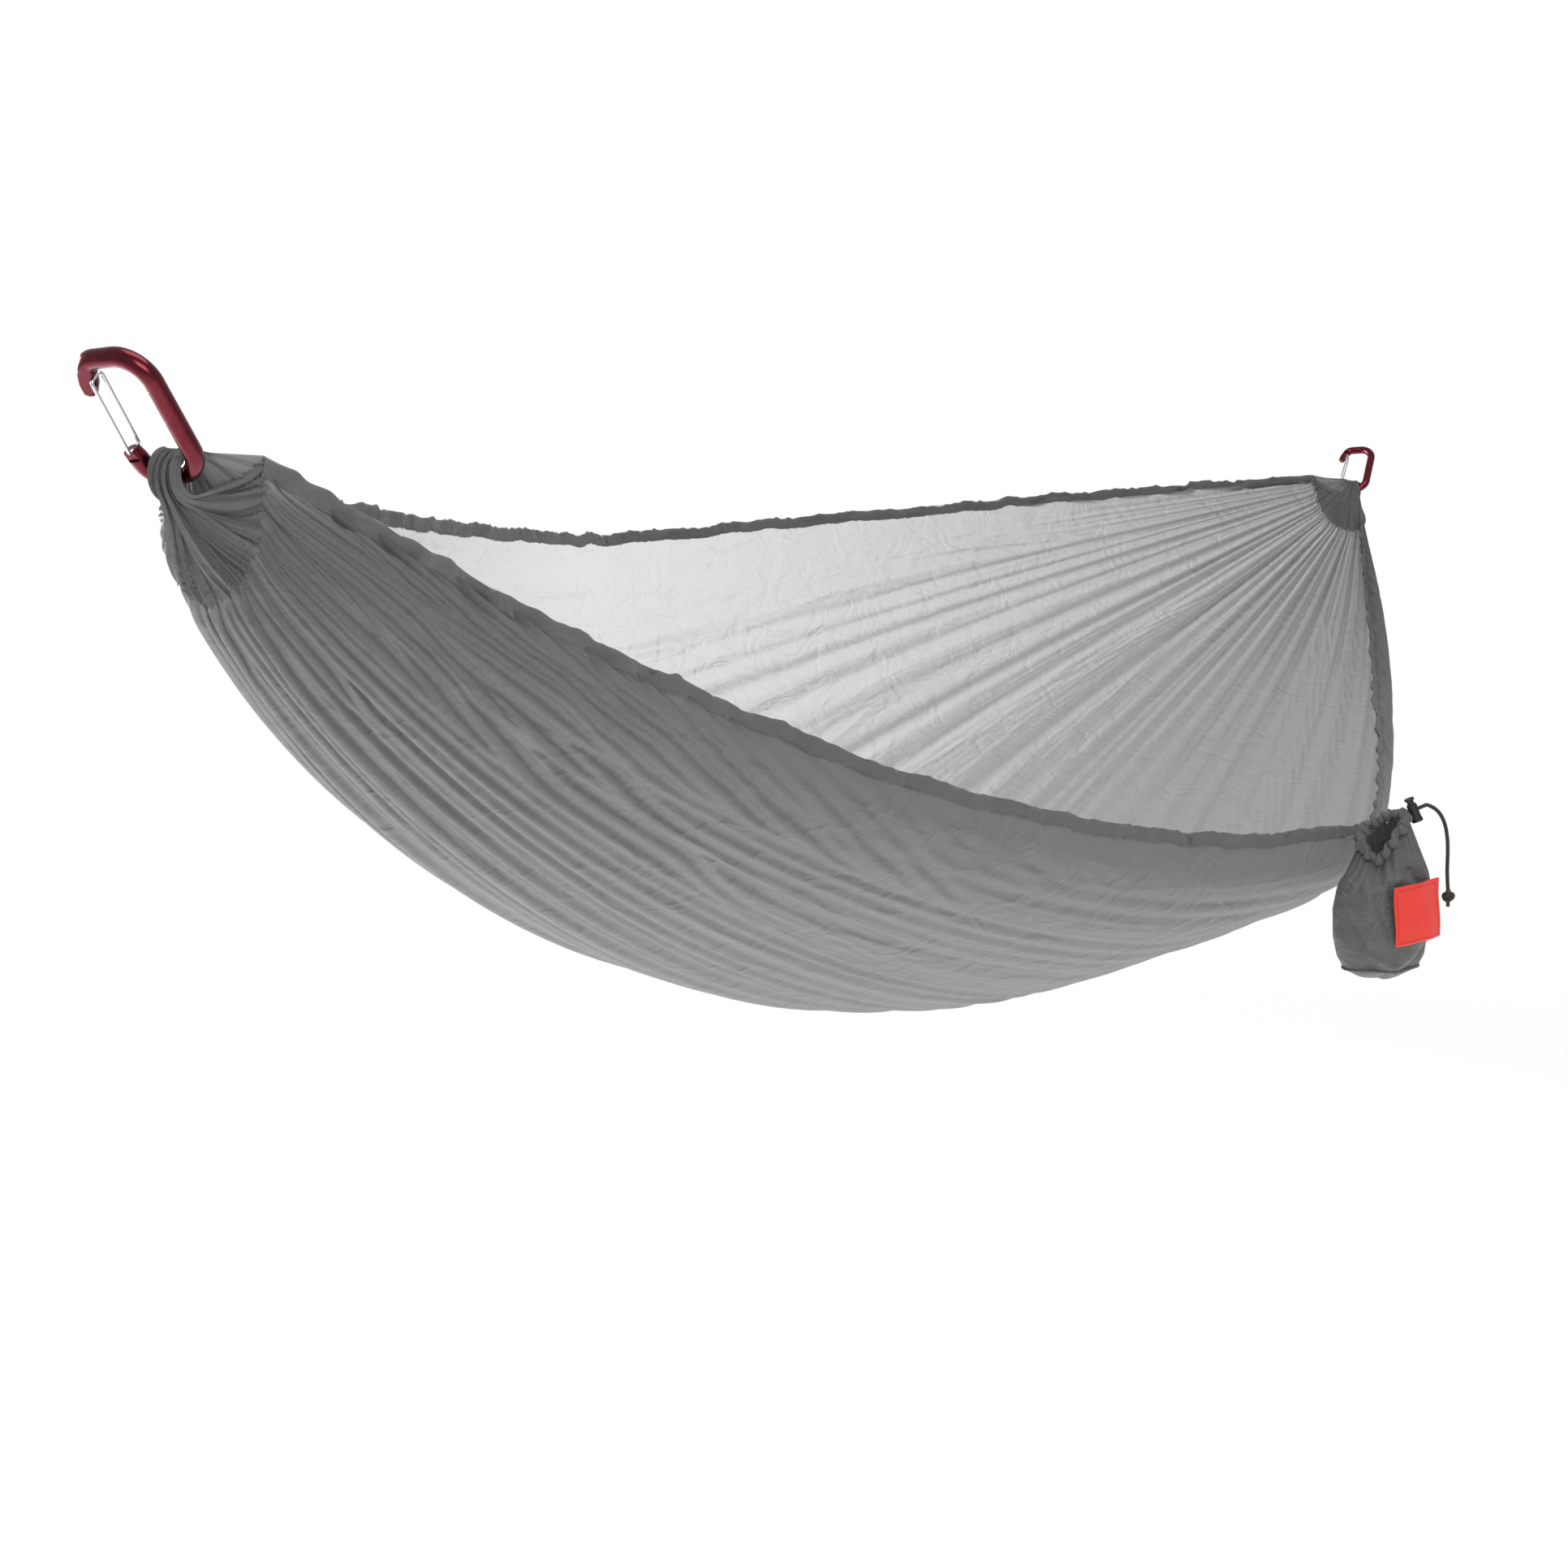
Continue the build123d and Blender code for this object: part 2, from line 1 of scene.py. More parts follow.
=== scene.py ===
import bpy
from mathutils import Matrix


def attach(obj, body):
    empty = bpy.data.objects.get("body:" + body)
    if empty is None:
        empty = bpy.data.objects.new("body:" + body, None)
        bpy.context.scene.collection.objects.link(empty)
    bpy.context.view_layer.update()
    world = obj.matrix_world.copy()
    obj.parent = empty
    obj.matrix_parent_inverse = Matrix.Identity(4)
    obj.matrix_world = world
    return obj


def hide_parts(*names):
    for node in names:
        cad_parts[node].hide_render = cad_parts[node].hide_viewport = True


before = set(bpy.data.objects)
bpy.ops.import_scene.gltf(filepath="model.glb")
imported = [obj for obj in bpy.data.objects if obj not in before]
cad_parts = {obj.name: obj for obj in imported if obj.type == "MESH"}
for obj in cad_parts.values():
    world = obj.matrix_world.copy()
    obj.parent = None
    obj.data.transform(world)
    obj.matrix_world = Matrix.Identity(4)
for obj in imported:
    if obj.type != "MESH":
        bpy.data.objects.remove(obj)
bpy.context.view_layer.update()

"""Camping hammock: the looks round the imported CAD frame. Metres, in the row frame."""

import math

import bpy
import numpy as np
from mathutils import Vector

# ---- shared dimensions, the same as the CAD source's ----------------------------------------------
SPAN = 2.4
ANGLE = math.radians(50)
REACH = 0.060
BEARING = np.array([REACH * math.cos(ANGLE), 0.0, -REACH * math.sin(ANGLE)])
ROD = 0.00475
SLEEVE = 0.042
CORD_RADIUS = 0.0016
DIAGONAL = math.sqrt(0.5)
UP = np.array([0.0, 0.0, 1.0])
ACROSS = np.array([DIAGONAL, -DIAGONAL, 0.0])
FRONT = np.array([-DIAGONAL, -DIAGONAL, 0.0])
MOUTH = np.array([1.130, -0.3288, -0.290]) + BEARING
MOUTH_HALF = (0.024, 0.016)
MOUTH_RISE = (0.68, 0.20)


def unit(v):
    v = np.asarray(v, float)
    return v / np.linalg.norm(v)


LOCK_AXIS = unit([0.17, -0.351, -0.92])
SIDEWAYS = unit([0.4346, -0.9007, 0.0])
CORD_OUT = unit(SIDEWAYS - LOCK_AXIS * (SIDEWAYS @ LOCK_AXIS))
MOUTH_X = unit(ACROSS + UP * MOUTH_RISE[0])
MOUTH_Z = unit(UP - ACROSS * MOUTH_RISE[0] + FRONT * MOUTH_RISE[1])
MOUTH_Y = np.cross(MOUTH_Z, MOUTH_X)
EYELET = MOUTH + MOUTH_X * MOUTH_HALF[0]
CORD_START = EYELET + CORD_OUT * CORD_RADIUS
LOCK_CENTRE = EYELET + CORD_OUT * 0.0081
TAIL_ROUTE = (
    (0.0115, 0.00487),
    (0.0205, 0.0),
    (0.0265, -0.010),
    (0.0293, -0.024),
    (0.0298, -0.0385),
    (0.0295, -0.053),
    (0.0308, -0.067),
)

# ---- camera ---------------------------------------------------------------------------------------
FOCAL_SHARE = 3079 / 1932  # focal length over the picture's width
camera_data = bpy.data.cameras.new("camera")
camera_data.sensor_width = 36.0
camera_data.lens = 36.0 * FOCAL_SHARE
camera = bpy.data.objects.new("camera", camera_data)
bpy.context.scene.collection.objects.link(camera)
camera.location = Vector(BEARING + np.array([-0.941, -0.775, -0.0146]))
camera.rotation_euler = (math.radians(90 - 6.54), 0, math.atan2(-0.9007, 0.4346))
bpy.context.scene.camera = camera


# ---- node helpers ---------------------------------------------------------------------------------
class Nodes:
    """Small shorthand for building a material's node tree."""

    def __init__(self, name):
        self.material = bpy.data.materials.new(name)
        self.material.use_nodes = True
        self.tree = self.material.node_tree
        self.tree.nodes.clear()
        self.out = self.tree.nodes.new("ShaderNodeOutputMaterial")

    def add(self, kind, inputs=None, **settings):
        node = self.tree.nodes.new("ShaderNode" + kind)
        for key, value in settings.items():
            setattr(node, key, value)
        for key, value in (inputs or {}).items():
            self.set(node.inputs[key], value)
        return node

    def set(self, socket, value):
        if isinstance(value, bpy.types.NodeSocket):
            self.tree.links.new(value, socket)
        else:
            socket.default_value = value

    def math(self, operation, a, b=0.0, c=0.0, clamp=False):
        node = self.add("Math", operation=operation, use_clamp=clamp)
        for socket, value in zip(node.inputs, (a, b, c)):
            self.set(socket, value)
        return node.outputs[0]

    def ramp(self, factor, stops, mode="LINEAR"):
        node = self.add("ValToRGB", {"Fac": factor})
        node.color_ramp.interpolation = mode
        elements = node.color_ramp.elements
        while len(elements) < len(stops):
            elements.new(0.5)
        for element, (position, colour) in zip(elements, stops):
            element.position = position
            element.color = (*colour, 1) if hasattr(colour, "__len__") else (colour,) * 3 + (1,)
        return node.outputs["Color"]

    def noise(self, vector, scale, detail=2.0, roughness=0.5, distortion=0.0):
        node = self.add(
            "TexNoise",
            {"Vector": vector, "Scale": scale, "Detail": detail, "Roughness": roughness, "Distortion": distortion},
        )
        return node.outputs["Fac"]

    def mapping(self, vector, scale, rotation=(0, 0, 0)):
        return self.add("Mapping", {"Vector": vector, "Scale": scale, "Rotation": rotation}).outputs[0]

    def mix(self, factor, a, b, blend="MIX"):
        node = self.add("Mix", data_type="RGBA", blend_type=blend)
        self.set(node.inputs["Factor"], factor)
        colour = [s for s in node.inputs if s.type == "RGBA"]
        for socket, value in zip(colour, (a, b)):
            self.set(socket, (*value, 1) if isinstance(value, tuple) and len(value) == 3 else value)
        return [s for s in node.outputs if s.type == "RGBA"][0]

    def bump(self, height, strength, distance, normal=None):
        inputs = {"Height": height, "Strength": strength, "Distance": distance}
        if normal is not None:
            inputs["Normal"] = normal
        return self.add("Bump", inputs).outputs[0]

    def finish(self, shader):
        self.set(self.out.inputs["Surface"], shader)
        return self.material


def threads(n, coordinate, pitch, width):
    """Narrow ridges across a coordinate, one every pitch."""
    phase = n.math("PINGPONG", coordinate, pitch / 2)
    return n.math("SUBTRACT", 1.0, n.math("SMOOTH_MIN", n.math("DIVIDE", phase, width), 1.0, 0.3), clamp=True)


def ridges(n, noise, sharpness):
    """Noise turned into narrow creases where it passes its middle value."""
    away = n.math("ABSOLUTE", n.math("SUBTRACT", noise, 0.5))
    return n.math("SUBTRACT", 1.0, n.math("SMOOTH_MIN", n.math("MULTIPLY", away, sharpness), 1.0, 0.25), clamp=True)


def ripstop(name, tone, see_through, crease=1.0):
    """Thin ripstop nylon: a fine plain weave with a grid of thicker threads, softly creased. The UV map is
    the flat cloth in metres."""
    n = Nodes(name)
    uv = n.add("UVMap").outputs[0]
    place = n.add("TexCoord").outputs["Object"]
    split = n.add("SeparateXYZ", {"Vector": uv})
    u, v = split.outputs["X"], split.outputs["Y"]
    grid = n.math("MAXIMUM", threads(n, u, 0.005, 0.00045), threads(n, v, 0.005, 0.00045))
    fine_u = n.math("SINE", n.math("MULTIPLY", u, 2 * math.pi / 0.0006))
    fine_v = n.math("SINE", n.math("MULTIPLY", v, 2 * math.pi / 0.0006))
    weave = n.math("MULTIPLY", fine_u, fine_v)
    long_folds = ridges(n, n.noise(n.mapping(uv, (1.5, 15.0, 1.0)), 1.0, 2.0, 0.5, 0.6), 8.0)
    crumple = ridges(n, n.noise(n.mapping(place, (1.0, 1.0, 1.6)), 15.0, 3.0, 0.5, 0.9), 9.0)
    small = ridges(n, n.noise(place, 46.0, 3.0, 0.55, 0.9), 6.0)
    cloudy = n.noise(place, 3.5, 2.0)
    base = n.mix(n.ramp(cloudy, [(0.3, 0.0), (0.7, 1.0)]), tuple(0.94 * t for t in tone), tuple(1.06 * t for t in tone))
    base = n.mix(n.math("MULTIPLY", grid, 0.22), base, tuple(0.62 * t for t in tone))
    bump = n.bump(long_folds, 0.45 * crease, 0.0040)
    bump = n.bump(crumple, 0.42 * crease, 0.0030, bump)
    bump = n.bump(small, 0.34 * crease, 0.0011, bump)
    bump = n.bump(grid, 0.5, 0.00025, bump)
    bump = n.bump(weave, 0.25, 0.00008, bump)
    surface = n.add(
        "BsdfPrincipled",
        {"Base Color": base, "Roughness": 0.52, "Specular IOR Level": 0.38, "Sheen Weight": 0.12, "Normal": bump},
    )
    through = n.add("BsdfTranslucent", {"Color": n.mix(0.60, base, (0.84, 0.84, 0.83)), "Normal": bump})
    blend = n.add("MixShader", {0: see_through, 1: surface.outputs[0], 2: through.outputs[0]})
    return n.finish(blend.outputs[0])


def anodised(name, colour):
    n = Nodes(name)
    place = n.add("TexCoord").outputs["Object"]
    fine = n.noise(place, 900.0, 3.0)
    wear = n.noise(place, 120.0, 4.0, 0.6)
    tint = n.mix(n.ramp(wear, [(0.35, 0.0), (0.75, 1.0)]), colour, tuple(min(1.0, 1.5 * c + 0.01) for c in colour))
    rough = n.math("ADD", 0.16, n.math("MULTIPLY", wear, 0.16))
    bump = n.bump(fine, 0.12, 0.00008)
    shader = n.add(
        "BsdfPrincipled",
        {"Base Color": tint, "Metallic": 1.0, "Roughness": rough, "Normal": bump, "Coat Weight": 0.35, "Coat Roughness": 0.12},
    )
    return n.finish(shader.outputs[0])


def steel(name):
    n = Nodes(name)
    place = n.add("TexCoord").outputs["Object"]
    streak = n.noise(n.mapping(place, (300.0, 2500.0, 300.0)), 1.0, 2.0)
    tint = n.mix(streak, (0.62, 0.62, 0.64), (0.80, 0.80, 0.82))
    rough = n.math("ADD", 0.18, n.math("MULTIPLY", streak, 0.15))
    shader = n.add("BsdfPrincipled", {"Base Color": tint, "Metallic": 1.0, "Roughness": rough})
    return n.finish(shader.outputs[0])


def plastic(name, colour):
    n = Nodes(name)
    place = n.add("TexCoord").outputs["Object"]
    grain = n.noise(place, 1400.0, 2.0)
    cloudy = n.noise(place, 90.0, 2.0)
    tint = n.mix(cloudy, tuple(0.8 * c for c in colour), tuple(1.3 * c for c in colour))
    rough = n.math("ADD", 0.34, n.math("MULTIPLY", cloudy, 0.12))
    bump = n.bump(grain, 0.2, 0.00006)
    shader = n.add("BsdfPrincipled", {"Base Color": tint, "Roughness": rough, "Normal": bump})
    return n.finish(shader.outputs[0])


def braid(name, dark, fleck):
    """Braided cord: crossed strands that run round it on a curve's own UV."""
    n = Nodes(name)
    uv = n.add("TexCoord").outputs["UV"]
    split = n.add("SeparateXYZ", {"Vector": uv})
    along = n.math("MULTIPLY", split.outputs["X"], 42.0)
    around = n.math("MULTIPLY", split.outputs["Y"], 4.0)
    plus = n.math("SINE", n.math("MULTIPLY", n.math("ADD", along, around), 2 * math.pi))
    minus = n.math("SINE", n.math("MULTIPLY", n.math("SUBTRACT", along, around), 2 * math.pi))
    strands = n.math("MAXIMUM", plus, minus)
    place = n.add("TexCoord").outputs["Object"]
    fuzz = n.noise(place, 1500.0, 2.0)
    tint = n.mix(n.math("MULTIPLY", n.math("GREATER_THAN", fuzz, 0.62), 0.5), dark, fleck)
    bump = n.bump(strands, 0.7, 0.0003)
    shader = n.add("BsdfPrincipled", {"Base Color": tint, "Roughness": 0.75, "Sheen Weight": 0.2, "Normal": bump})
    return n.finish(shader.outputs[0])


def woven_label(name, colour):
    n = Nodes(name)
    uv = n.add("UVMap").outputs[0]
    split = n.add("SeparateXYZ", {"Vector": uv})
    u, v = split.outputs["X"], split.outputs["Y"]
    rows = n.math("SINE", n.math("MULTIPLY", v, 2 * math.pi / 0.0005))
    cross = n.math("SINE", n.math("MULTIPLY", u, 2 * math.pi / 0.0007))
    weave = n.math("MULTIPLY", rows, cross)
    place = n.add("TexCoord").outputs["Object"]
    cloudy = n.noise(place, 60.0, 3.0)
    tint = n.mix(cloudy, tuple(0.85 * c for c in colour), tuple(min(1, 1.1 * c) for c in colour))
    tint = n.mix(n.math("MULTIPLY", n.math("ADD", weave, 1.0), 0.08), tint, tuple(0.5 * c for c in colour))
    bump = n.bump(weave, 0.5, 0.0001)
    bump = n.bump(cloudy, 0.2, 0.001, bump)
    shader = n.add("BsdfPrincipled", {"Base Color": tint, "Roughness": 0.6, "Sheen Weight": 0.2, "Normal": bump})
    return n.finish(shader.outputs[0])


def thread_material(name, colour):
    n = Nodes(name)
    place = n.add("TexCoord").outputs["Object"]
    twist = n.noise(n.mapping(place, (1800.0, 1800.0, 1800.0)), 1.0, 2.0)
    tint = n.mix(twist, tuple(0.7 * c for c in colour), tuple(1.25 * c for c in colour))
    shader = n.add("BsdfPrincipled", {"Base Color": tint, "Roughness": 0.7, "Normal": n.bump(twist, 0.6, 0.0002)})
    return n.finish(shader.outputs[0])


GREY = (0.128, 0.132, 0.128)
SHEET = ripstop("ripstop", GREY, 0.42)
HEM = ripstop("ripstop_hem", tuple(1.05 * c for c in GREY), 0.16, 0.8)
SACK = ripstop("sack_ripstop", tuple(0.90 * c for c in GREY), 0.06, 1.2)
BURGUNDY = anodised("anodised_burgundy", (0.125, 0.008, 0.018))
STEEL = steel("gate_steel")
BLACK = plastic("lock_plastic", (0.020, 0.017, 0.018))
BRAID = braid("cord_braid", (0.030, 0.022, 0.022), (0.16, 0.05, 0.04))
LABEL = woven_label("label_weave", (0.93, 0.034, 0.016))
THREAD = thread_material("grey_thread", (0.16, 0.165, 0.16))
LABEL_THREAD = thread_material("label_thread", (0.22, 0.010, 0.010))


# ---- mesh helpers ---------------------------------------------------------------------------------
def link(obj):
    bpy.context.scene.collection.objects.link(obj)
    return obj


def grid_object(name, points, material, uv=None, loop_rows=False, loop_columns=False, subdivide=0):
    """Mesh over a grid of points, with an optional UV map in metres."""
    points = np.asarray(points, float)
    rows, columns = points.shape[:2]
    index = np.arange(rows * columns).reshape(rows, columns)
    if loop_rows:
        index = np.vstack([index, index[:1]])
    if loop_columns:
        index = np.hstack([index, index[:, :1]])
    quads = np.stack([index[:-1, :-1], index[:-1, 1:], index[1:, 1:], index[1:, :-1]], -1).reshape(-1, 4)
    mesh = bpy.data.meshes.new(name)
    mesh.vertices.add(rows * columns)
    mesh.vertices.foreach_set("co", points.reshape(-1).astype(np.float32))
    mesh.loops.add(quads.size)
    mesh.loops.foreach_set("vertex_index", quads.reshape(-1).astype(np.int32))
    mesh.polygons.add(len(quads))
    mesh.polygons.foreach_set("loop_start", np.arange(0, quads.size, 4, dtype=np.int32))
    mesh.update(calc_edges=True)
    mesh.polygons.foreach_set("use_smooth", np.ones(len(quads), bool))
    if uv is not None:
        if loop_columns or loop_rows:
            raise ValueError("a closed grid gets its UV from an open copy")
        flat = np.asarray(uv, float).reshape(-1, 2)[quads.reshape(-1)]
        mesh.uv_layers.new(name="cloth").data.foreach_set("uv", flat.reshape(-1).astype(np.float32))
    mesh.materials.append(material)
    obj = link(bpy.data.objects.new(name, mesh))
    if subdivide:
        modifier = obj.modifiers.new("smooth", "SUBSURF")
        modifier.levels = subdivide
        modifier.render_levels = subdivide
    return obj


def smooth_noise(count, length, step, rng):
    """Smooth random values along a length, one knot every step metres, about unit size."""
    knots = rng.normal(0.0, 1.0, int(length / step) + 4)
    place = np.linspace(0, len(knots) - 1.001, count)
    low = place.astype(int)
    share = place - low
    share = share * share * (3 - 2 * share)
    return knots[low] * (1 - share) + knots[low + 1] * share


# ---- drawcord tail --------------------------------------------------------------------------------
def curve_object(name, points, radius, material, resolution=10, cyclic=False):
    data = bpy.data.curves.new(name, "CURVE")
    data.dimensions = "3D"
    data.bevel_depth = radius
    data.bevel_resolution = 6
    data.resolution_u = resolution
    data.use_fill_caps = True
    spline = data.splines.new("NURBS")
    spline.points.add(len(points) - 1)
    for point, place in zip(spline.points, points):
        point.co = (*place, 1.0)
    spline.order_u = 3
    if cyclic:
        spline.use_cyclic_u = True
    else:
        spline.use_endpoint_u = True
    data.materials.append(material)
    return link(bpy.data.objects.new(name, data))


tail_points = [CORD_START] + [LOCK_CENTRE + SIDEWAYS * out + UP * up for out, up in TAIL_ROUTE]
tail_points[1:1] = [CORD_START + (tail_points[1] - CORD_START) * s for s in (0.5, 0.85)]
tail = curve_object("drawcord_tail_braid", tail_points, CORD_RADIUS, BRAID)
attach(tail, "sack")
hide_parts("drawcord_tail")

way = unit(tail_points[-1] - tail_points[-2])
side = unit(np.cross(way, FRONT))
face = np.cross(side, way)
knot_points = []
for k in range(23):
    a = 2 * math.pi * k / 22 * 0.93 + 0.35
    out = 0.0016 * (2.0 + math.cos(3 * a))
    knot_points.append(
        tail_points[-1] + way * (0.0052 - out * 1.05 * math.cos(2 * a)) + side * (out * 0.95 * math.sin(2 * a)) + face * (0.0021 * math.sin(3 * a))
    )
knot_points = [tail_points[-1] - way * 0.001, tail_points[-1] + way * 0.0006, *knot_points]
knot_points += [tail_points[-1] + way * 0.0100 + side * 0.0006, tail_points[-1] + way * 0.0142 + side * 0.0012]
knot = curve_object("drawcord_overhand_knot", knot_points, CORD_RADIUS * 0.95, BRAID)
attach(knot, "sack")
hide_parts("drawcord_knot")

# ---- metal and plastic parts that keep their CAD shape --------------------------------------------
CAD_FINISHES = {
    "left_carabiner_body": (BURGUNDY, "anodised_metal"),
    "right_carabiner_body": (BURGUNDY, "anodised_metal"),
    "left_gate_wire": (STEEL, "gate_steel"),
    "right_gate_wire": (STEEL, "gate_steel"),
    "cord_lock_barrel": (BLACK, "lock_plastic"),
    "cord_lock_plunger": (BLACK, "lock_plastic"),
    "cord_lock_spring": (STEEL, "spring_steel"),
}
for node, (material, slot) in CAD_FINISHES.items():
    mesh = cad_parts[node].data
    mesh.materials.clear()
    mesh.materials.append(material)
    mesh.polygons.foreach_set("use_smooth", np.ones(len(mesh.polygons), bool))


# ---- bed: flat cloth, gathered and relaxed --------------------------------------------------------
# Each row is a control point of the cross-section: its peak (x, y, z), its ends (y, left z, right z) and
# the exponents of its fall-off (y left, y right, z left, z right), measured from the left bearing.
PROFILES = np.array(
    [
        [1.215, -0.301, -0.291, -0.012, 0.027, -0.020, 1.12, 1.12, 1.97, 2.2],
        [1.250, -0.365, -0.395, -0.014, -0.060, -0.050, 1.3, 2.4, 2.4, 1.3],
        [0.950, 0.390, -0.673, 0.014, -0.060, -0.050, 2.4, 1.85, 1.35, 1.3],
        [1.180, 0.440, -0.050, 0.012, 0.004, 0.018, 1.25, 2.0, 1.25, 1.25],
    ]
)
CLOTH_WIDTH = 1.03  # between its folded edges, at its widest
CLOTH_LENGTH = 2.495  # between the two stitch rows
# The cloth's width over its section's length, less 1: a share, and the distance from the ends at which it
# falls off. The tightest pleats next to the gathers are left out, so the cut narrows there.
SLACK = ((0.015, 9.0), (0.13, 0.75), (0.72, 0.30))


def control_points(x):
    p = PROFILES.T
    x = np.atleast_1d(x)[:, None]
    left = x < p[0]
    share = np.where(left, (p[0] - x) / p[0], (x - p[0]) / (SPAN - p[0]))
    y_power, z_power = np.where(left, p[6], p[7]), np.where(left, p[8], p[9])
    end_z = np.where(left, p[4], p[5])
    y = p[3] + (p[1] - p[3]) * (1 - share**y_power)
    z = end_z + (p[2] - end_z) * (1 - share**z_power)
    return np.stack([y, z], 2)


def sections(x, v):
    """Points, inward normals and arc lengths of the sections at x, at the shares v of their arcs."""
    t = np.linspace(0, 1, 241)
    basis = np.stack([(1 - t) ** 3, 3 * (1 - t) ** 2 * t, 3 * (1 - t) * t * t, t**3], 1)
    curve = np.einsum("tk,xkc->xtc", basis, control_points(x))
    slope = np.gradient(curve, axis=1)
    step = np.linalg.norm(np.diff(curve, axis=1), axis=2)
    share = np.concatenate([np.zeros((len(x), 1)), np.cumsum(step, 1)], 1)
    arc = share[:, -1].copy()
    share /= share[:, -1:]
    points, normals = np.zeros(v.shape + (2,)), np.zeros(v.shape + (2,))
    for i in range(len(x)):
        for k in range(2):
            points[i, :, k] = np.interp(v[i], share[i], curve[i, :, k])
        dy, dz = (np.interp(v[i], share[i], slope[i, :, k]) for k in range(2))
        size = np.hypot(dy, dz)
        normals[i, :, 0], normals[i, :, 1] = -dz / size, dy / size
    return points, normals, arc


def pleats(x, v, rng):
    """Unit folds that radiate from both gathers, many and narrow at each end and few in the middle."""
    folds = np.zeros((len(x), len(v)))
    for count, reach in ((37, 0.12), (25, 0.30), (15, 0.70), (9, 1.20)):
        for far in (False, True):
            distance = SPAN - x if far else x
            knots = np.linspace(0, 1, int(0.8 * count))
            own_reach = reach * np.interp(v, knots, rng.uniform(0.55, 1.45, len(knots)))
            height = np.interp(v, knots, rng.uniform(0.25, 1.6, len(knots)))
            weight = np.exp(-((distance[:, None] / own_reach) ** 2))
            weight *= np.clip((SPAN * 0.60 - distance) / 0.35, 0, 1)[:, None]
            wobble = sum(rng.normal(0, 0.5) * np.sin(2 * np.pi * (k * v + rng.uniform())) for k in (1, 2, 3, 5, 8))
            phase = np.pi * count * v + rng.uniform(0, 6.3) + 2.4 * wobble
            wave = height * (1.27 - 2 * np.sqrt(np.sin(phase) ** 2 + 0.012))
            folds += weight / count**0.6 * wave
    return folds * np.clip(np.minimum(v, 1 - v) / 0.03, 0, 1)[None, :]


def gathered_start(rows, columns, rng):
    """The cloth's start: the sections, pleated until each row is as long as its cloth is wide."""
    q = np.linspace(0, 1, rows)
    x = SLEEVE + (SPAN - 2 * SLEEVE) * (q - 0.60 * np.sin(2 * np.pi * q) / (2 * np.pi))
    v = np.linspace(0, 1, columns)
    points, normals, arc = sections(x, np.tile(v, (rows, 1)))
    folds = pleats(x, v, rng)
    end = np.minimum(x, SPAN - x)
    width = arc * (1 + sum(share * np.exp(-((end / reach) ** 2)) for share, reach in SLACK))
    low, high = np.zeros(rows), np.full(rows, 0.2)
    for _ in range(22):
        middle = (low + high) / 2
        trial = points + normals * (middle[:, None] * folds)[..., None]
        short = np.linalg.norm(np.diff(trial, axis=1), axis=2).sum(1) < width
        low, high = np.where(short, middle, low), np.where(short, high, middle)
    most = 0.012 + 0.012 * np.clip(np.minimum(x, SPAN - x) / 0.5, 0, 1)
    size = np.minimum(low, most / np.abs(folds).max(1))
    start = np.zeros((rows, columns, 3))
    start[..., 0] = x[:, None]
    start[..., 1:] = points + normals * (size[:, None] * folds)[..., None]
    along = np.linalg.norm(np.diff(np.c_[x, points[:, columns // 2]], axis=0), axis=1)
    u = np.r_[0, np.cumsum(along)]
    return start + BEARING, u * (CLOTH_LENGTH / u[-1]), v * CLOTH_WIDTH, x, width / CLOTH_WIDTH


def pair_steps(rows, columns, du, dv, stiffness):
    """Index slices, two at a time so that no point is in two pairs, for springs that reach du, dv."""
    steps = []
    for phase in (0, 1):
        a, b = [], []
        for size, d in ((rows, du), (columns, dv)):
            a.append([max(0, -d), size - max(0, d)])
            b.append([max(0, d), size + min(0, d)])
        axis = 0 if du else 1
        reach = abs((du, dv)[axis])
        picks = [np.arange(a[0][0], a[0][1]), np.arange(a[1][0], a[1][1])]
        picks[axis] = picks[axis][((picks[axis] - a[axis][0]) // reach) % 2 == phase]
        steps.append((picks[0], picks[1], du, dv, stiffness))
    return steps


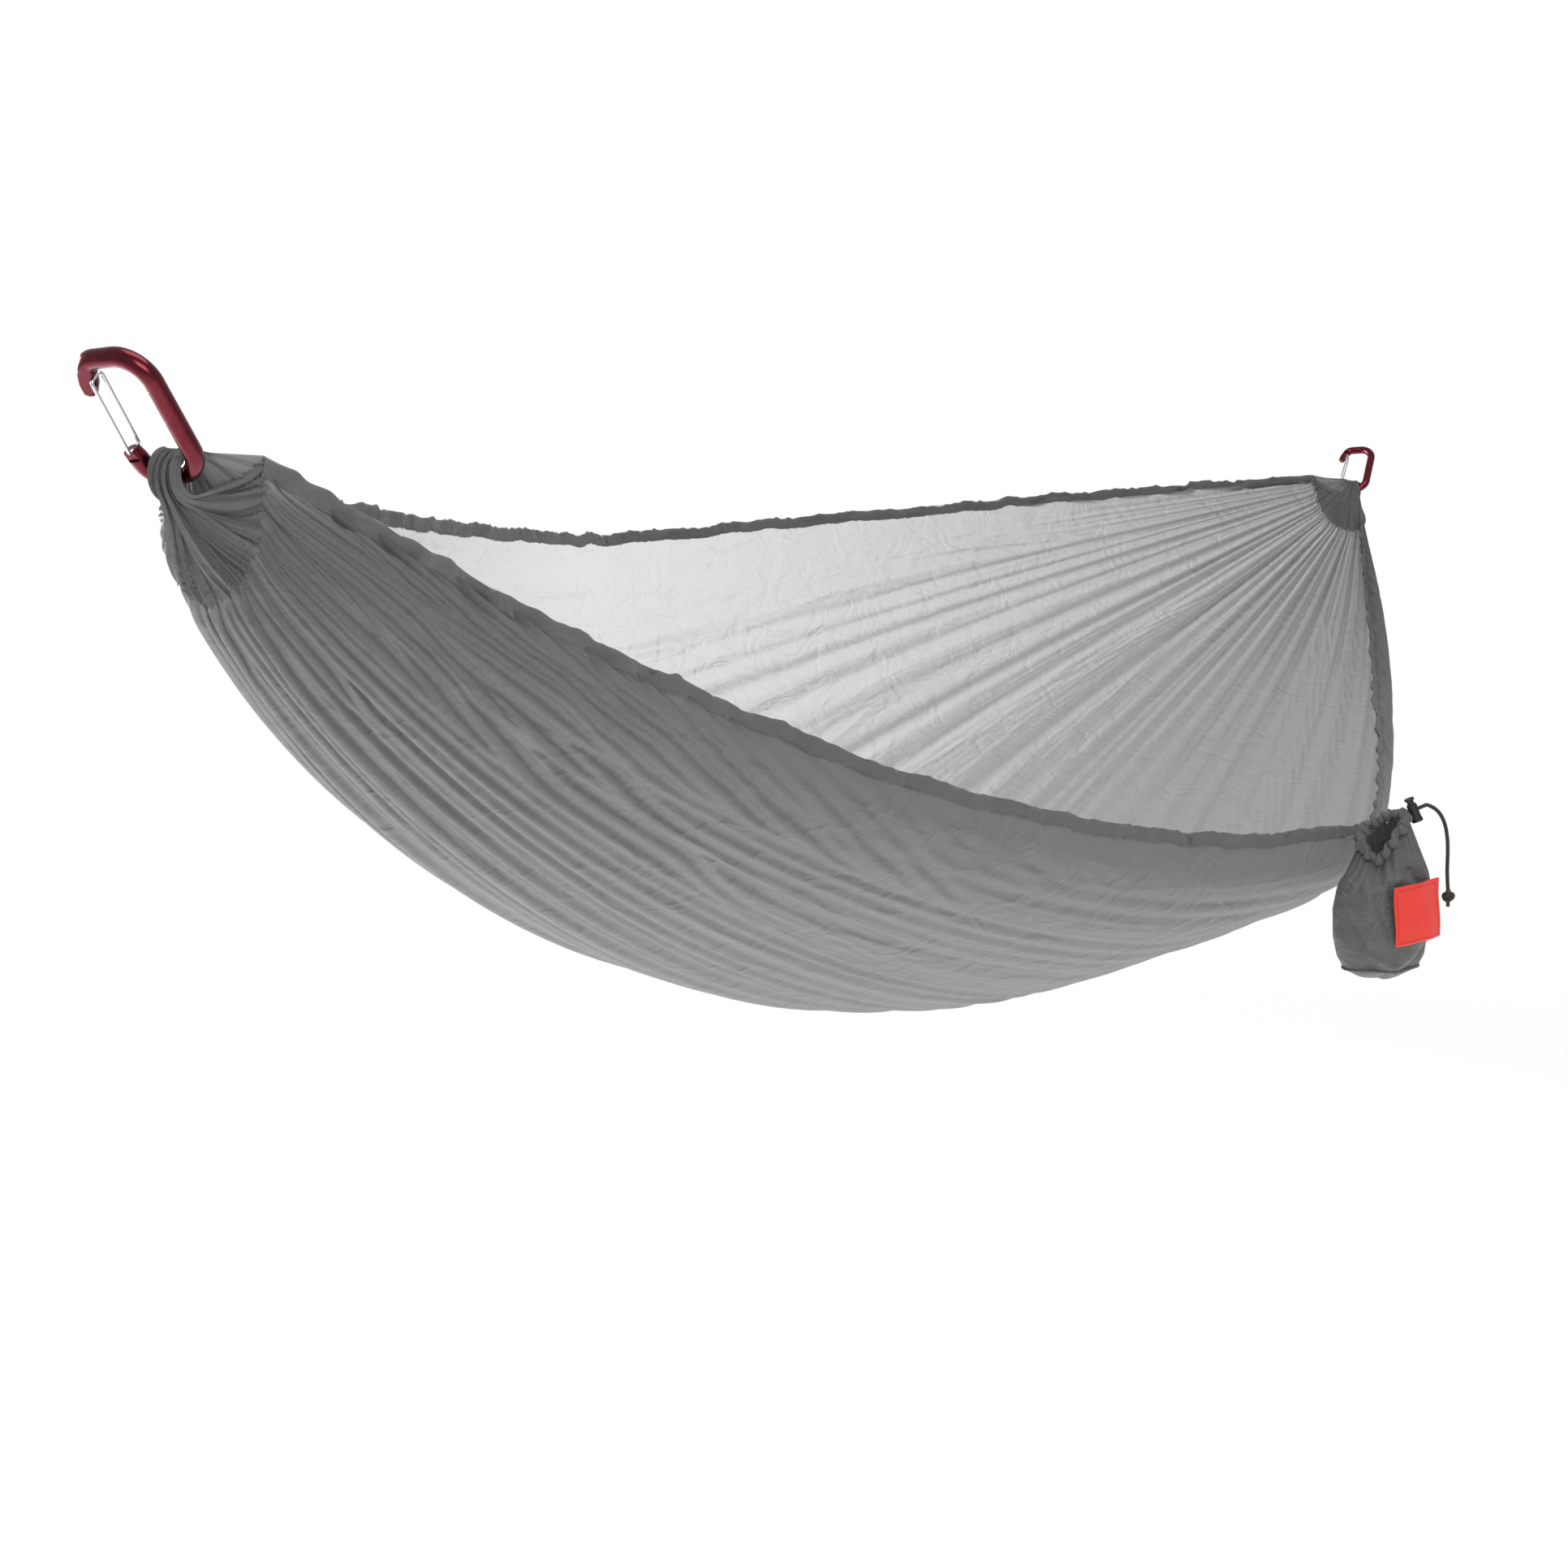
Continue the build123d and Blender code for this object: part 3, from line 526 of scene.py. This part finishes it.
def relax_cloth(start, v, narrowing, pinned, frames, gravity, room):
    """Position-based cloth: taut along its rays, its own width across, both diagonals, a little bending
    stiffness, gravity, and pinned points that stay. No point moves further than room."""
    rows, columns = start.shape[:2]
    place = start.astype(np.float32).copy()
    start32 = place.copy()
    velocity = np.zeros_like(place)
    free = (~pinned).astype(np.float32)
    step = np.linalg.norm(np.diff(start, axis=0), axis=2)
    step = np.stack([np.convolve(np.pad(row, 6, mode="edge"), np.ones(13) / 13, "valid") for row in step])
    along = np.vstack([np.zeros((1, columns)), np.cumsum(step, 0)]).astype(np.float32)
    narrowing = narrowing.astype(np.float32)
    springs = []
    for du, dv, stiffness in ((1, 0, 1.0), (0, 1, 1.0), (1, 1, 0.35), (1, -1, 0.35), (2, 0, 0.05), (0, 2, 0.05), (0, 4, 0.02), (4, 0, 0.02)):
        for i, j, du, dv, k in pair_steps(rows, columns, du, dv, stiffness):
            if not len(i) or not len(j):
                continue
            first, second = np.ix_(i, j), np.ix_(i + du, j + dv)
            local = (narrowing[i] + narrowing[i + du])[:, None] / 2
            apart_v = (v[j + dv] - v[j])[None, :] * local
            apart_u = [along[np.ix_(i + du, k)] - along[np.ix_(i, k)] for k in (j, j + dv)]
            rest = np.hypot(sum(apart_u) / 2, apart_v).astype(np.float32)
            wa, wb = free[first], free[second]
            total = np.maximum(wa + wb, 1e-6)
            springs.append((first, second, rest, (k * wa / total)[..., None], (k * wb / total)[..., None]))
    dt = np.float32(1 / 240)
    for frame_number in range(frames):
        velocity[..., 2] -= gravity * dt
        velocity *= np.float32(0.985)
        before = place.copy()
        place += velocity * dt * free[..., None]
        for first, second, rest, share_a, share_b in springs:
            gap = place[second] - place[first]
            length = np.sqrt(np.einsum("ijk,ijk->ij", gap, gap)) + 1e-9
            gap *= (1 - rest / length)[..., None]
            place[first] += share_a * gap
            place[second] -= share_b * gap
        moved = place - start32
        far = np.linalg.norm(moved, axis=-1, keepdims=True)
        place = start32 + moved * (np.tanh(far / room) * room / np.maximum(far, 1e-9))
        velocity = (place - before) / dt
    return place.astype(float)


def blur(values, passes):
    for _ in range(passes):
        padded = np.pad(values, ((1, 1), (1, 1), (0, 0)), mode="edge")
        values = (padded[1:-1, 1:-1] * 4 + padded[:-2, 1:-1] + padded[2:, 1:-1] + padded[1:-1, :-2] + padded[1:-1, 2:]) / 8
    return values


bed_rng = np.random.default_rng(11)
BED_ROWS, BED_COLUMNS = ((300, 300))
start, cloth_u, cloth_v, stations_x, narrowing = gathered_start(BED_ROWS, BED_COLUMNS, bed_rng)
hem_wobble = np.stack([smooth_noise(BED_ROWS, CLOTH_LENGTH, 0.022, bed_rng) for _ in range(4)])
fade = np.clip(np.minimum(stations_x, SPAN - stations_x) / 0.15, 0, 1)
start[:, 0, 1] += 0.0016 * hem_wobble[0] * fade
start[:, 0, 2] += 0.0012 * hem_wobble[1] * fade
start[:, -1, 1] += 0.0016 * hem_wobble[2] * fade
start[:, -1, 2] += 0.0012 * hem_wobble[3] * fade
pinned = np.zeros((BED_ROWS, BED_COLUMNS), bool)
pinned[0] = pinned[-1] = True
pinned[:, 0] = pinned[:, -1] = True
cloth = relax_cloth(start, cloth_v, narrowing, pinned, 150, 1.5, 0.030)
uv = np.stack(np.broadcast_arrays(cloth_u[:, None], cloth_v[None, :]), -1)
bed = grid_object("bed_sheet", cloth, SHEET, uv, subdivide=1)
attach(bed, "bed")
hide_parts("bed_fabric")


# ---- hems -----------------------------------------------------------------------------------------
def unit_rows(values):
    return values / np.maximum(np.linalg.norm(values, axis=-1, keepdims=True), 1e-9)


def resample(line, step):
    """The polyline at an even step, with the same values for everything in its columns."""
    length = np.r_[0, np.cumsum(np.linalg.norm(np.diff(line[:, :3], axis=0), axis=1))]
    count = int(length[-1] / step) + 2
    place = np.linspace(0, length[-1], count)
    return np.stack([np.interp(place, length, line[:, k]) for k in range(line.shape[1])], 1)


def smooth_line(line, passes):
    for _ in range(passes):
        line = np.vstack([line[:1], (line[:-2] + 2 * line[1:-1] + line[2:]) / 4, line[-1:]])
    return line


def stitches(name, line, normals, material, body, pitch=0.0034, length=0.0026, radius=0.00030):
    """Thread stitches one pitch apart along a line: short lens-shaped ridges that dip in at both ends."""
    full = resample(np.hstack([line, normals]), pitch)
    centre, normal = full[1:-1, :3], unit_rows(full[1:-1, 3:])
    along = unit_rows(full[2:, :3] - full[:-2, :3])
    across = np.cross(along, normal)
    rings, sides = 5, 6
    t = np.linspace(-1, 1, rings)
    size = np.sqrt(np.clip(1.05 - t**2, 0.05, 1)) * radius
    angle = np.arange(sides) * 2 * math.pi / sides
    count = len(centre)
    points = (
        centre[:, None, None]
        + along[:, None, None] * (t * length / 2)[None, :, None, None]
        + normal[:, None, None] * (np.sin(angle)[None, :] * size[:, None] - 0.6 * radius * (t**2)[:, None])[None, :, :, None]
        + across[:, None, None] * (np.cos(angle)[None, :] * size[:, None])[None, :, :, None]
    )
    index = np.arange(count * rings * sides).reshape(count, rings, sides)
    index = np.concatenate([index, index[:, :, :1]], 2)
    quads = np.stack([index[:, :-1, :-1], index[:, :-1, 1:], index[:, 1:, 1:], index[:, 1:, :-1]], -1).reshape(-1, 4)
    mesh = bpy.data.meshes.new(name)
    mesh.from_pydata(points.reshape(-1, 3).tolist(), [], quads.tolist())
    mesh.polygons.foreach_set("use_smooth", np.ones(len(mesh.polygons), bool))
    mesh.materials.append(material)
    obj = link(bpy.data.objects.new(name, mesh))
    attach(obj, body)
    return obj


HEM_SECTION = np.array(
    [
        [-0.0002, 0.0], [0.0004, 0.0011], [0.0025, 0.0014], [0.0060, 0.0012], [0.0088, 0.0005], [0.0104, 0.0009],
        [0.0114, 0.0002], [0.0104, -0.0009], [0.0088, -0.0005], [0.0060, -0.0012], [0.0025, -0.0014], [0.0004, -0.0011],
    ]
)


def hem(name, node, edge, inside, rng, thread_node):
    """Folded hem over the cloth's first centimetre, puckered by its seam."""
    line = resample(np.hstack([edge, inside]), 0.0022)
    edge, inside = smooth_line(line[:, :3], 3), smooth_line(line[:, 3:], 6)
    down = unit_rows(inside - edge)
    along = unit_rows(np.gradient(edge, axis=0))
    normal = unit_rows(np.cross(along, down))
    down = unit_rows(np.cross(normal, along))
    count, length = len(edge), len(edge) * 0.0022
    pucker = smooth_noise(count, length, 0.0045, rng)
    wave = smooth_noise(count, length, 0.016, rng)
    lip = smooth_noise(count, length, 0.007, rng)
    a, b = HEM_SECTION[:, 0], HEM_SECTION[:, 1]
    share = np.clip(a / 0.011, 0, 1)
    out = b[None, :] * (1 + 0.35 * pucker[:, None]) + 0.0006 * pucker[:, None] * share * (1 - share) * 4 + 0.0010 * wave[:, None] * (1 - share)
    reach = a[None, :] + 0.0007 * lip[:, None] * (1 - share) + 0.0003 * pucker[:, None] * share
    points = edge[:, None] + down[:, None] * reach[..., None] + normal[:, None] * out[..., None]
    points = np.concatenate([points, points[:, :1]], 1)
    around = np.r_[0, np.cumsum(np.linalg.norm(np.diff(np.vstack([HEM_SECTION, HEM_SECTION[:1]]), axis=0), axis=1))]
    uv = np.stack(np.broadcast_arrays(np.linspace(0, length, count)[:, None], around[None, :]), -1)
    obj = grid_object(name, points, HEM, uv, subdivide=1)
    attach(obj, "bed")
    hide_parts(node)
    for sign, label in ((1, "out"), (-1, "in")):
        surface = edge + down * 0.0088 + normal * (sign * 0.0006 + 0.00035 * pucker)[:, None]
        row = stitches(f"{name}_thread_{label}", surface, normal * sign, THREAD, "bed")
        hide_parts(thread_node)
    return obj


hem_rng = np.random.default_rng(5)
inner_column = 0.011 / CLOTH_WIDTH * (BED_COLUMNS - 1)
low_column = int(inner_column)
share = inner_column - low_column
near_inside = cloth[:, low_column] * (1 - share) + cloth[:, low_column + 1] * share
far_inside = cloth[:, -1 - low_column] * (1 - share) + cloth[:, -2 - low_column] * share
near_hem = hem("near_hem", "near_edge_hem", cloth[:, 0], near_inside, hem_rng, "near_hem_stitching")
far_hem = hem("far_hem", "far_edge_hem", cloth[:, -1], far_inside, hem_rng, "far_hem_stitching")


# ---- end channels ---------------------------------------------------------------------------------
def end_channel(name, left, row, rng):
    """The doubled sleeve between the stitch rows and the carabiner's rod, bunched and wrapped over it."""
    sign = 1 if left else -1
    x = SLEEVE if left else SPAN - SLEEVE
    columns = len(row)
    v = np.linspace(0, 1, columns)
    flat, _, _ = sections(np.array([x]), v[None, :])
    base = np.zeros((columns, 3))
    base[:, 0] = x
    base[:, 1:] = flat[0]
    base += BEARING
    folds = row - base
    side = -1 if left else 1
    load = np.array([side * math.cos(ANGLE), 0.0, math.sin(ANGLE)])
    bearing = BEARING + np.array([0 if left else SPAN, 0, 0])
    centre = bearing - load * ROD
    rel = base - centre
    px, pz = rel[:, 0] * sign, rel[:, 2]
    rho, theta = np.hypot(px, pz), np.arctan2(pz, px)
    bunch = sum(rng.uniform(0.5, 1) * np.sin(2 * np.pi * (k * v + rng.uniform())) for k in (4, 7, 10)) / 2.2
    crinkle = sum(rng.uniform(0.5, 1) * np.sin(2 * np.pi * (k * v + rng.uniform())) for k in (13, 19, 27)) / 2.2
    layer = 0.0120 + 0.0032 * bunch + 0.0010 * crinkle
    rod_y = -0.0020 + (v - 0.5) * 0.0182 + 0.0012 * crinkle
    turn = np.arccos(np.clip(layer / rho, -1, 1))
    rows = []
    for t in np.linspace(0, 1, 18):  # straight to the rod's outer side
        a = theta - turn
        target = np.stack([layer * np.cos(a), layer * np.sin(a)], 1)
        p = np.stack([px, pz], 1) * (1 - t) + target * t
        swell = math.sin(math.pi * t) * (0.0030 + 0.0022 * bunch)
        p += np.stack([np.cos(a), np.sin(a)], 1) * swell[:, None]
        ease = t * t * (3 - 2 * t)
        y = rel[:, 1] * (1 - ease) + (rod_y - centre[1]) * ease
        keep = (1 - ease) + 0.25 * ease
        sharper = 0.0016 * crinkle * math.sin(math.pi * t)
        rows.append(np.stack([p[:, 0] * sign, y + folds[:, 1] * keep + sharper, p[:, 1] + folds[:, 2] * keep], 1))
    start_angle = theta - turn
    for t in np.linspace(0, 1, 16)[1:]:  # round the rod
        a = start_angle + t * (-2 * math.pi + 2 * turn + 0.30)
        radius = layer * (1 - 0.18 * math.sin(math.pi * t)) - 0.0004
        p = np.stack([radius * np.cos(a), radius * np.sin(a)], 1)
        fade = 1 - t
        offset = folds[:, 1:] * 0.25 * fade
        rows.append(np.stack([p[:, 0] * sign, (rod_y - centre[1]) + offset[:, 0], p[:, 1] + offset[:, 1]], 1))
    top = rows[-1]
    for t in np.linspace(0, 1, 12)[1:]:  # and back inside to the stitch rows
        ease = t * t * (3 - 2 * t)
        rows.append(top * (1 - ease) + (row - centre) * ease)
    points = np.array(rows) + centre
    points = blur(points, 1)
    points[0] = row
    uv = np.stack(np.broadcast_arrays(np.linspace(0, 0.10, len(points))[:, None], (v * 0.45)[None, :]), -1)
    obj = grid_object(name, points, HEM, uv, subdivide=1)
    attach(obj, "bed")
    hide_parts("left_end_channel" if left else "right_end_channel")
    node = "left_channel_stitching" if left else "right_channel_stitching"
    outward = unit_rows(np.cross(np.gradient(points[1], axis=0), points[2] - points[0])) * (-sign)
    for k, share in enumerate((0.10, 0.24)):
        line = points[1] * (1 - share * 2) + points[5] * share * 2
        thread = stitches(f"{name}_thread_{k}", line + outward * 0.0003, outward, THREAD, "bed")
        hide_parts(node)
    return obj


channel_rng = np.random.default_rng(23)
left_channel = end_channel("left_sleeve", True, cloth[0], channel_rng)
right_channel = end_channel("right_sleeve", False, cloth[-1], channel_rng)


# ---- stuff sack -----------------------------------------------------------------------------------
# drop below the mouth, half width, half depth, shift to the front
SACK_RIBS = np.array(
    [[0.0, 0.0225, 0.0150, 0.0], [0.006, 0.0245, 0.0170, 0.0], [0.036, 0.0380, 0.0270, 0.001], [0.064, 0.0435, 0.0310, 0.002],
     [0.088, 0.0425, 0.0310, 0.002], [0.104, 0.0385, 0.0285, 0.0015], [0.1140, 0.0325, 0.0240, 0.001]]
)
SACK_FLOOR = SACK_RIBS[-1, 0]


def crease(theta, drop, where, angle, length, width, depth):
    """One soft fold on the wall: a ridge or a dent along a slanted line."""
    dt = (theta - where[0] + math.pi) % (2 * math.pi) - math.pi
    dx, dz = dt * 0.036, drop - where[1]
    along = dx * math.cos(angle) + dz * math.sin(angle)
    across = -dx * math.sin(angle) + dz * math.cos(angle)
    return depth * np.exp(-((along / length) ** 2) - (across / width) ** 2)


def sack_wall(theta, drop, rng_seed=3):
    """Point on the wall's outside: drop metres below the mouth's own ring."""
    rng = np.random.default_rng(rng_seed)
    half_w, half_d, shift = (np.interp(drop, SACK_RIBS[:, 0], SACK_RIBS[:, k]) for k in (1, 2, 3))
    level = np.clip(drop / 0.050, 0, 1)
    level = level * level * (3 - 2 * level)
    c, s = np.cos(theta), np.sin(theta)
    x_axis = MOUTH_X[None, None] * (1 - level[..., None]) + ACROSS * level[..., None]
    y_axis = MOUTH_Y[None, None] * (1 - level[..., None]) - FRONT * level[..., None]
    gather = np.exp(-((drop / 0.020) ** 2))
    pleat = sum(rng.uniform(0.6, 1) * np.sin(k * theta + rng.uniform(0, 6.3)) for k in (11, 17, 23))
    broad = sum(rng.uniform(0.6, 1) * np.sin(k * theta + rng.uniform(0, 6.3) + 5 * drop * 10) for k in (2, 3, 5))
    radial = 0.0013 * pleat * gather + 0.0007 * pleat * np.exp(-((drop - 0.02) / 0.03) ** 2)
    radial = radial + 0.0012 * broad * level
    for where, angle, length, width, depth in (
        ((4.05, 0.060), 1.25, 0.045, 0.0045, 0.0040),
        ((3.70, 0.085), 1.05, 0.040, 0.0060, -0.0045),
        ((4.60, 0.034), 0.55, 0.020, 0.0045, 0.0032),
        ((5.20, 0.040), 0.95, 0.024, 0.0040, -0.0030),
        ((4.25, 0.105), 0.45, 0.026, 0.0045, 0.0034),
        ((5.00, 0.112), -0.45, 0.026, 0.0055, -0.0034),
        ((5.60, 0.060), 1.35, 0.035, 0.0045, 0.0028),
        ((1.40, 0.070), 1.20, 0.040, 0.0060, 0.0030),
        ((0.60, 0.095), 0.70, 0.030, 0.0060, -0.0030),
        ((2.40, 0.060), 1.55, 0.040, 0.0060, -0.0032),
    ):
        radial = radial + crease(theta, drop, where, angle, length, width, depth)
    squarish = 1 + 0.035 * np.cos(4 * theta) * level * np.clip((drop - 0.05) / 0.05, 0, 1)
    w, d = half_w * squarish + radial, half_d * squarish + radial
    dip = 0.013 * np.exp(-(((theta - 4.05 + math.pi) % (2 * math.pi) - math.pi) / 0.55) ** 2) * np.exp(-((drop / 0.035) ** 2))
    centre = MOUTH + FRONT * shift[..., None]
    return centre + x_axis * (w * c)[..., None] + y_axis * (d * s)[..., None] - UP * (drop + dip)[..., None]


def closed(points):
    return np.concatenate([points, points[:, :1]], 1)


theta = np.linspace(0, 2 * math.pi, 241)[:-1]
drops = 0.004 + (SACK_FLOOR - 0.004) * np.linspace(0, 1, 90)
wall_points = closed(sack_wall(*np.meshgrid(theta, drops)))
wall_uv = np.stack(np.broadcast_arrays(np.linspace(0, 0.23, 241)[None, :], drops[:, None]), -1)
wall = grid_object("sack_wall", wall_points, SACK, wall_uv, subdivide=1)
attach(wall, "sack")
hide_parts("sack_body")

channel_sides = np.linspace(0, 2 * math.pi, 25)[:-1]
fine_theta = np.linspace(0, 2 * math.pi, 401)[:-1]
sack_rng = np.random.default_rng(17)
ruffle = sum(sack_rng.uniform(0.5, 1) * np.sin(k * fine_theta + sack_rng.uniform(0, 6.3)) for k in (19, 26, 37)) / 1.5
ring_line = sack_wall(fine_theta[None, :], np.full((1, 400), 0.0005))[0]
ring_along = unit_rows(np.roll(ring_line, -2, 0) - np.roll(ring_line, 2, 0))
ring_out = unit_rows(np.cross(ring_along, np.tile(MOUTH_Z, (400, 1))))
channel_points = []
for a in channel_sides:
    lip = max(0.0, math.cos(a)) ** 3
    size = 0.0031 + 0.0009 * ruffle * (0.6 + 0.4 * math.cos(a)) + 0.0022 * lip
    lean = 0.0010 * ruffle * lip
    channel_points.append(
        ring_line + MOUTH_Z * (size * math.cos(a) + 0.0004)[:, None] + ring_out * (size * math.sin(a) * (1 - 0.45 * lip) + lean)[:, None]
    )
channel_points = np.array(channel_points)
mouth_channel = grid_object("sack_ruffled_channel", channel_points, SACK, loop_rows=True, loop_columns=True, subdivide=1)
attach(mouth_channel, "sack")
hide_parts("sack_mouth_channel", "sack_drawcord")

BASE_DEPTH = 0.0095
share = np.linspace(0, 1, 26)
rim = sack_wall(theta[None, :], np.full((1, 240), SACK_FLOOR))[0]
middle = rim.mean(0) - UP * BASE_DEPTH
base_points = []
for s in share:
    fall = BASE_DEPTH * (1 - (1 - s) ** 2)
    p = rim * (1 - s) + middle * s
    p[:, 2] = rim[:, 2] * (1 - s) + rim[:, 2].mean() * s - fall
    p[:, 2] += 0.0006 * np.sin(23 * theta + 1.0) * math.exp(-((s / 0.12) ** 2)) + 0.0012 * np.sin(3 * theta + 4 * s) * s * (1 - s) * 4
    base_points.append(p)
base_uv = np.stack([closed(np.array(base_points))[..., 0], closed(np.array(base_points))[..., 1]], -1)
base = grid_object("sack_base_panel", closed(np.array(base_points)), SACK, base_uv, subdivide=1)
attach(base, "sack")
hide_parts("sack_base")

seam_out = unit_rows((rim - rim.mean(0)) * np.array([1, 1, 0]))
seam_points = []
for a in np.linspace(0, 2 * math.pi, 9)[:-1]:
    seam_points.append(rim + seam_out * (0.0006 + 0.0011 * math.cos(a)) + UP * (0.0012 * math.sin(a) + 0.0003 * np.sin(31 * theta))[:, None])
seam = grid_object("sack_base_seam_ridge", np.array(seam_points), SACK, loop_rows=True, loop_columns=True)
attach(seam, "sack")
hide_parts("sack_base_seam")
closed_rim = np.vstack([rim, rim[:1]]) + UP * 0.0030
closed_out = np.vstack([seam_out, seam_out[:1]])
seam_thread = stitches("sack_base_thread", closed_rim + closed_out * 0.0006, closed_out, THREAD, "sack")

# ---- label ----------------------------------------------------------------------------------------
turn = math.radians(12)
facing = FRONT * math.cos(turn) + ACROSS * math.sin(turn)
label_x = unit(ACROSS * math.cos(turn) - FRONT * math.sin(turn) + UP * 0.10)
label_z = unit(facing - label_x * (facing @ label_x))
label_y = np.cross(label_z, label_x)
label_centre = MOUTH - UP * 0.064 + FRONT * 0.0338 + ACROSS * 0.0142
a = np.linspace(-0.026, 0.026, 41)
b = np.linspace(-0.025, 0.025, 41)
grid_a, grid_b = np.meshgrid(a, b, indexing="ij")
bend = 0.0012 - np.where(grid_a > 0, 6.5, 3.0) * grid_a**2 - 0.0006 * np.sin(grid_b * 150) + 0.0010 * np.clip((grid_a - 0.018) / 0.008, 0, 1)
bend += 0.0005 * np.sin(grid_a * 230 + grid_b * 60)


def label_points(a, b, height):
    return label_centre + label_x * a[..., None] + label_y * b[..., None] + label_z * height[..., None]


edge_drop = 0.0004 * (np.clip(1 - (0.026 - np.abs(grid_a)) / 0.0012, 0, 1) ** 2 + np.clip(1 - (0.025 - np.abs(grid_b)) / 0.0012, 0, 1) ** 2)
top = label_points(grid_a, grid_b, bend + 0.0004 - edge_drop)
bottom = label_points(grid_a, grid_b, bend - 0.0004)
label_grid = np.concatenate([bottom[:1], top, bottom[-1:]], 0)
left_edge = np.concatenate([bottom[:1, :1], bottom[:, :1], bottom[-1:, :1]], 0)
right_edge = np.concatenate([bottom[:1, -1:], bottom[:, -1:], bottom[-1:, -1:]], 0)
label_grid = np.concatenate([left_edge, label_grid, right_edge], 1)
label_uv = np.stack(np.meshgrid(np.r_[a[0], a, a[-1]], np.r_[b[0], b, b[-1]], indexing="ij"), -1)
label = grid_object("sack_label_patch", label_grid, LABEL, label_uv)
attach(label, "sack")
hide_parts("sack_label")
label_back = grid_object("sack_label_back", bottom, LABEL, np.stack([grid_a, grid_b], -1))
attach(label_back, "sack")
for name, line_a, line_b in (
    ("top", np.linspace(-0.0255, 0.0228, 60), np.full(60, 0.0215)),
    ("right", np.full(60, 0.0228), np.linspace(0.0215, -0.0245, 60)),
    ("left", np.full(60, -0.0236), np.linspace(0.0215, -0.0225, 60)),
    ("bottom", np.linspace(-0.0236, 0.0228, 60), np.full(60, -0.0225)),
):
    height = 0.0012 - np.where(line_a > 0, 6.5, 3.0) * line_a**2 - 0.0006 * np.sin(line_b * 150) + 0.0010 * np.clip((line_a - 0.018) / 0.008, 0, 1)
    height += 0.0005 * np.sin(line_a * 230 + line_b * 60) + 0.00045
    thread = stitches(f"label_thread_{name}", label_points(line_a, line_b, height), np.tile(label_z, (60, 1)), LABEL_THREAD, "sack", 0.0024, 0.0020, 0.00022)
    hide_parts("label_stitching")

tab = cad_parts["sack_attachment_tab"]
tab.data.materials.clear()
tab.data.materials.append(thread_material("tab_webbing", (0.14, 0.143, 0.14)))

# ---- floor and light ------------------------------------------------------------------------------
FLOOR_Z = -1.15


def floor_material():
    n = Nodes("floor")
    place = n.add("TexCoord").outputs["Object"]
    away = n.add("VectorMath", {0: place}, operation="LENGTH").outputs["Value"]
    fade_out = n.ramp(n.math("DIVIDE", away, 9.0), [(0.12, 0.0), (0.42, 1.0)], "EASE")
    grain = n.noise(place, 40.0, 3.0)
    tint = n.mix(grain, (0.86, 0.86, 0.86), (0.90, 0.90, 0.90))
    matte = n.add("BsdfPrincipled", {"Base Color": tint, "Roughness": 0.9, "Emission Color": (1, 1, 1, 1), "Emission Strength": 0.30})
    clear = n.add("BsdfTransparent")
    return n.finish(n.add("MixShader", {0: fade_out, 1: matte.outputs[0], 2: clear.outputs[0]}).outputs[0])


ring = np.linspace(0, 2 * math.pi, 65)[:-1]
radii = np.array([0.001, 2.0, 4.0, 6.0, 9.0])
floor_points = np.stack([radii[:, None] * np.cos(ring), radii[:, None] * np.sin(ring), np.zeros((5, 64))], -1)
floor = grid_object("floor", floor_points, floor_material(), loop_columns=True)
floor.location = (1.2, 0.0, FLOOR_Z)

world = bpy.data.worlds.new("studio")
world.use_nodes = True
bpy.context.scene.world = world
tree = world.node_tree
tree.nodes.clear()
path = tree.nodes.new("ShaderNodeLightPath")
seen, light = tree.nodes.new("ShaderNodeBackground"), tree.nodes.new("ShaderNodeBackground")
seen.inputs["Color"].default_value = (1, 1, 1, 1)
seen.inputs["Strength"].default_value = 1.0
light.inputs["Color"].default_value = (1.0, 1.0, 1.0, 1)
light.inputs["Strength"].default_value = 0.46
either = tree.nodes.new("ShaderNodeMixShader")
output = tree.nodes.new("ShaderNodeOutputWorld")
tree.links.new(path.outputs["Is Camera Ray"], either.inputs[0])
tree.links.new(light.outputs[0], either.inputs[1])
tree.links.new(seen.outputs[0], either.inputs[2])
tree.links.new(either.outputs[0], output.inputs["Surface"])


def area_light(name, place, target, size, power):
    data = bpy.data.lights.new(name, "AREA")
    data.shape = "RECTANGLE"
    data.size, data.size_y = size
    data.energy = power
    lamp = link(bpy.data.objects.new(name, data))
    lamp.location = place
    lamp.rotation_euler = (Vector(target) - Vector(place)).to_track_quat("-Z", "Y").to_euler()


area_light("back_softbox", (1.0, 2.9, 0.15), (1.15, 0.3, -0.30), (2.8, 1.2), 165)
area_light("top_softbox", (0.6, -0.6, 2.2), (1.2, 0.0, -0.2), (2.2, 1.6), 30)
area_light("front_softbox", (-1.6, -2.2, 0.6), (1.0, 0.0, -0.3), (1.8, 1.4), 30)

bpy.context.scene.view_settings.view_transform = "Standard"
bpy.context.scene.view_settings.look = "None"
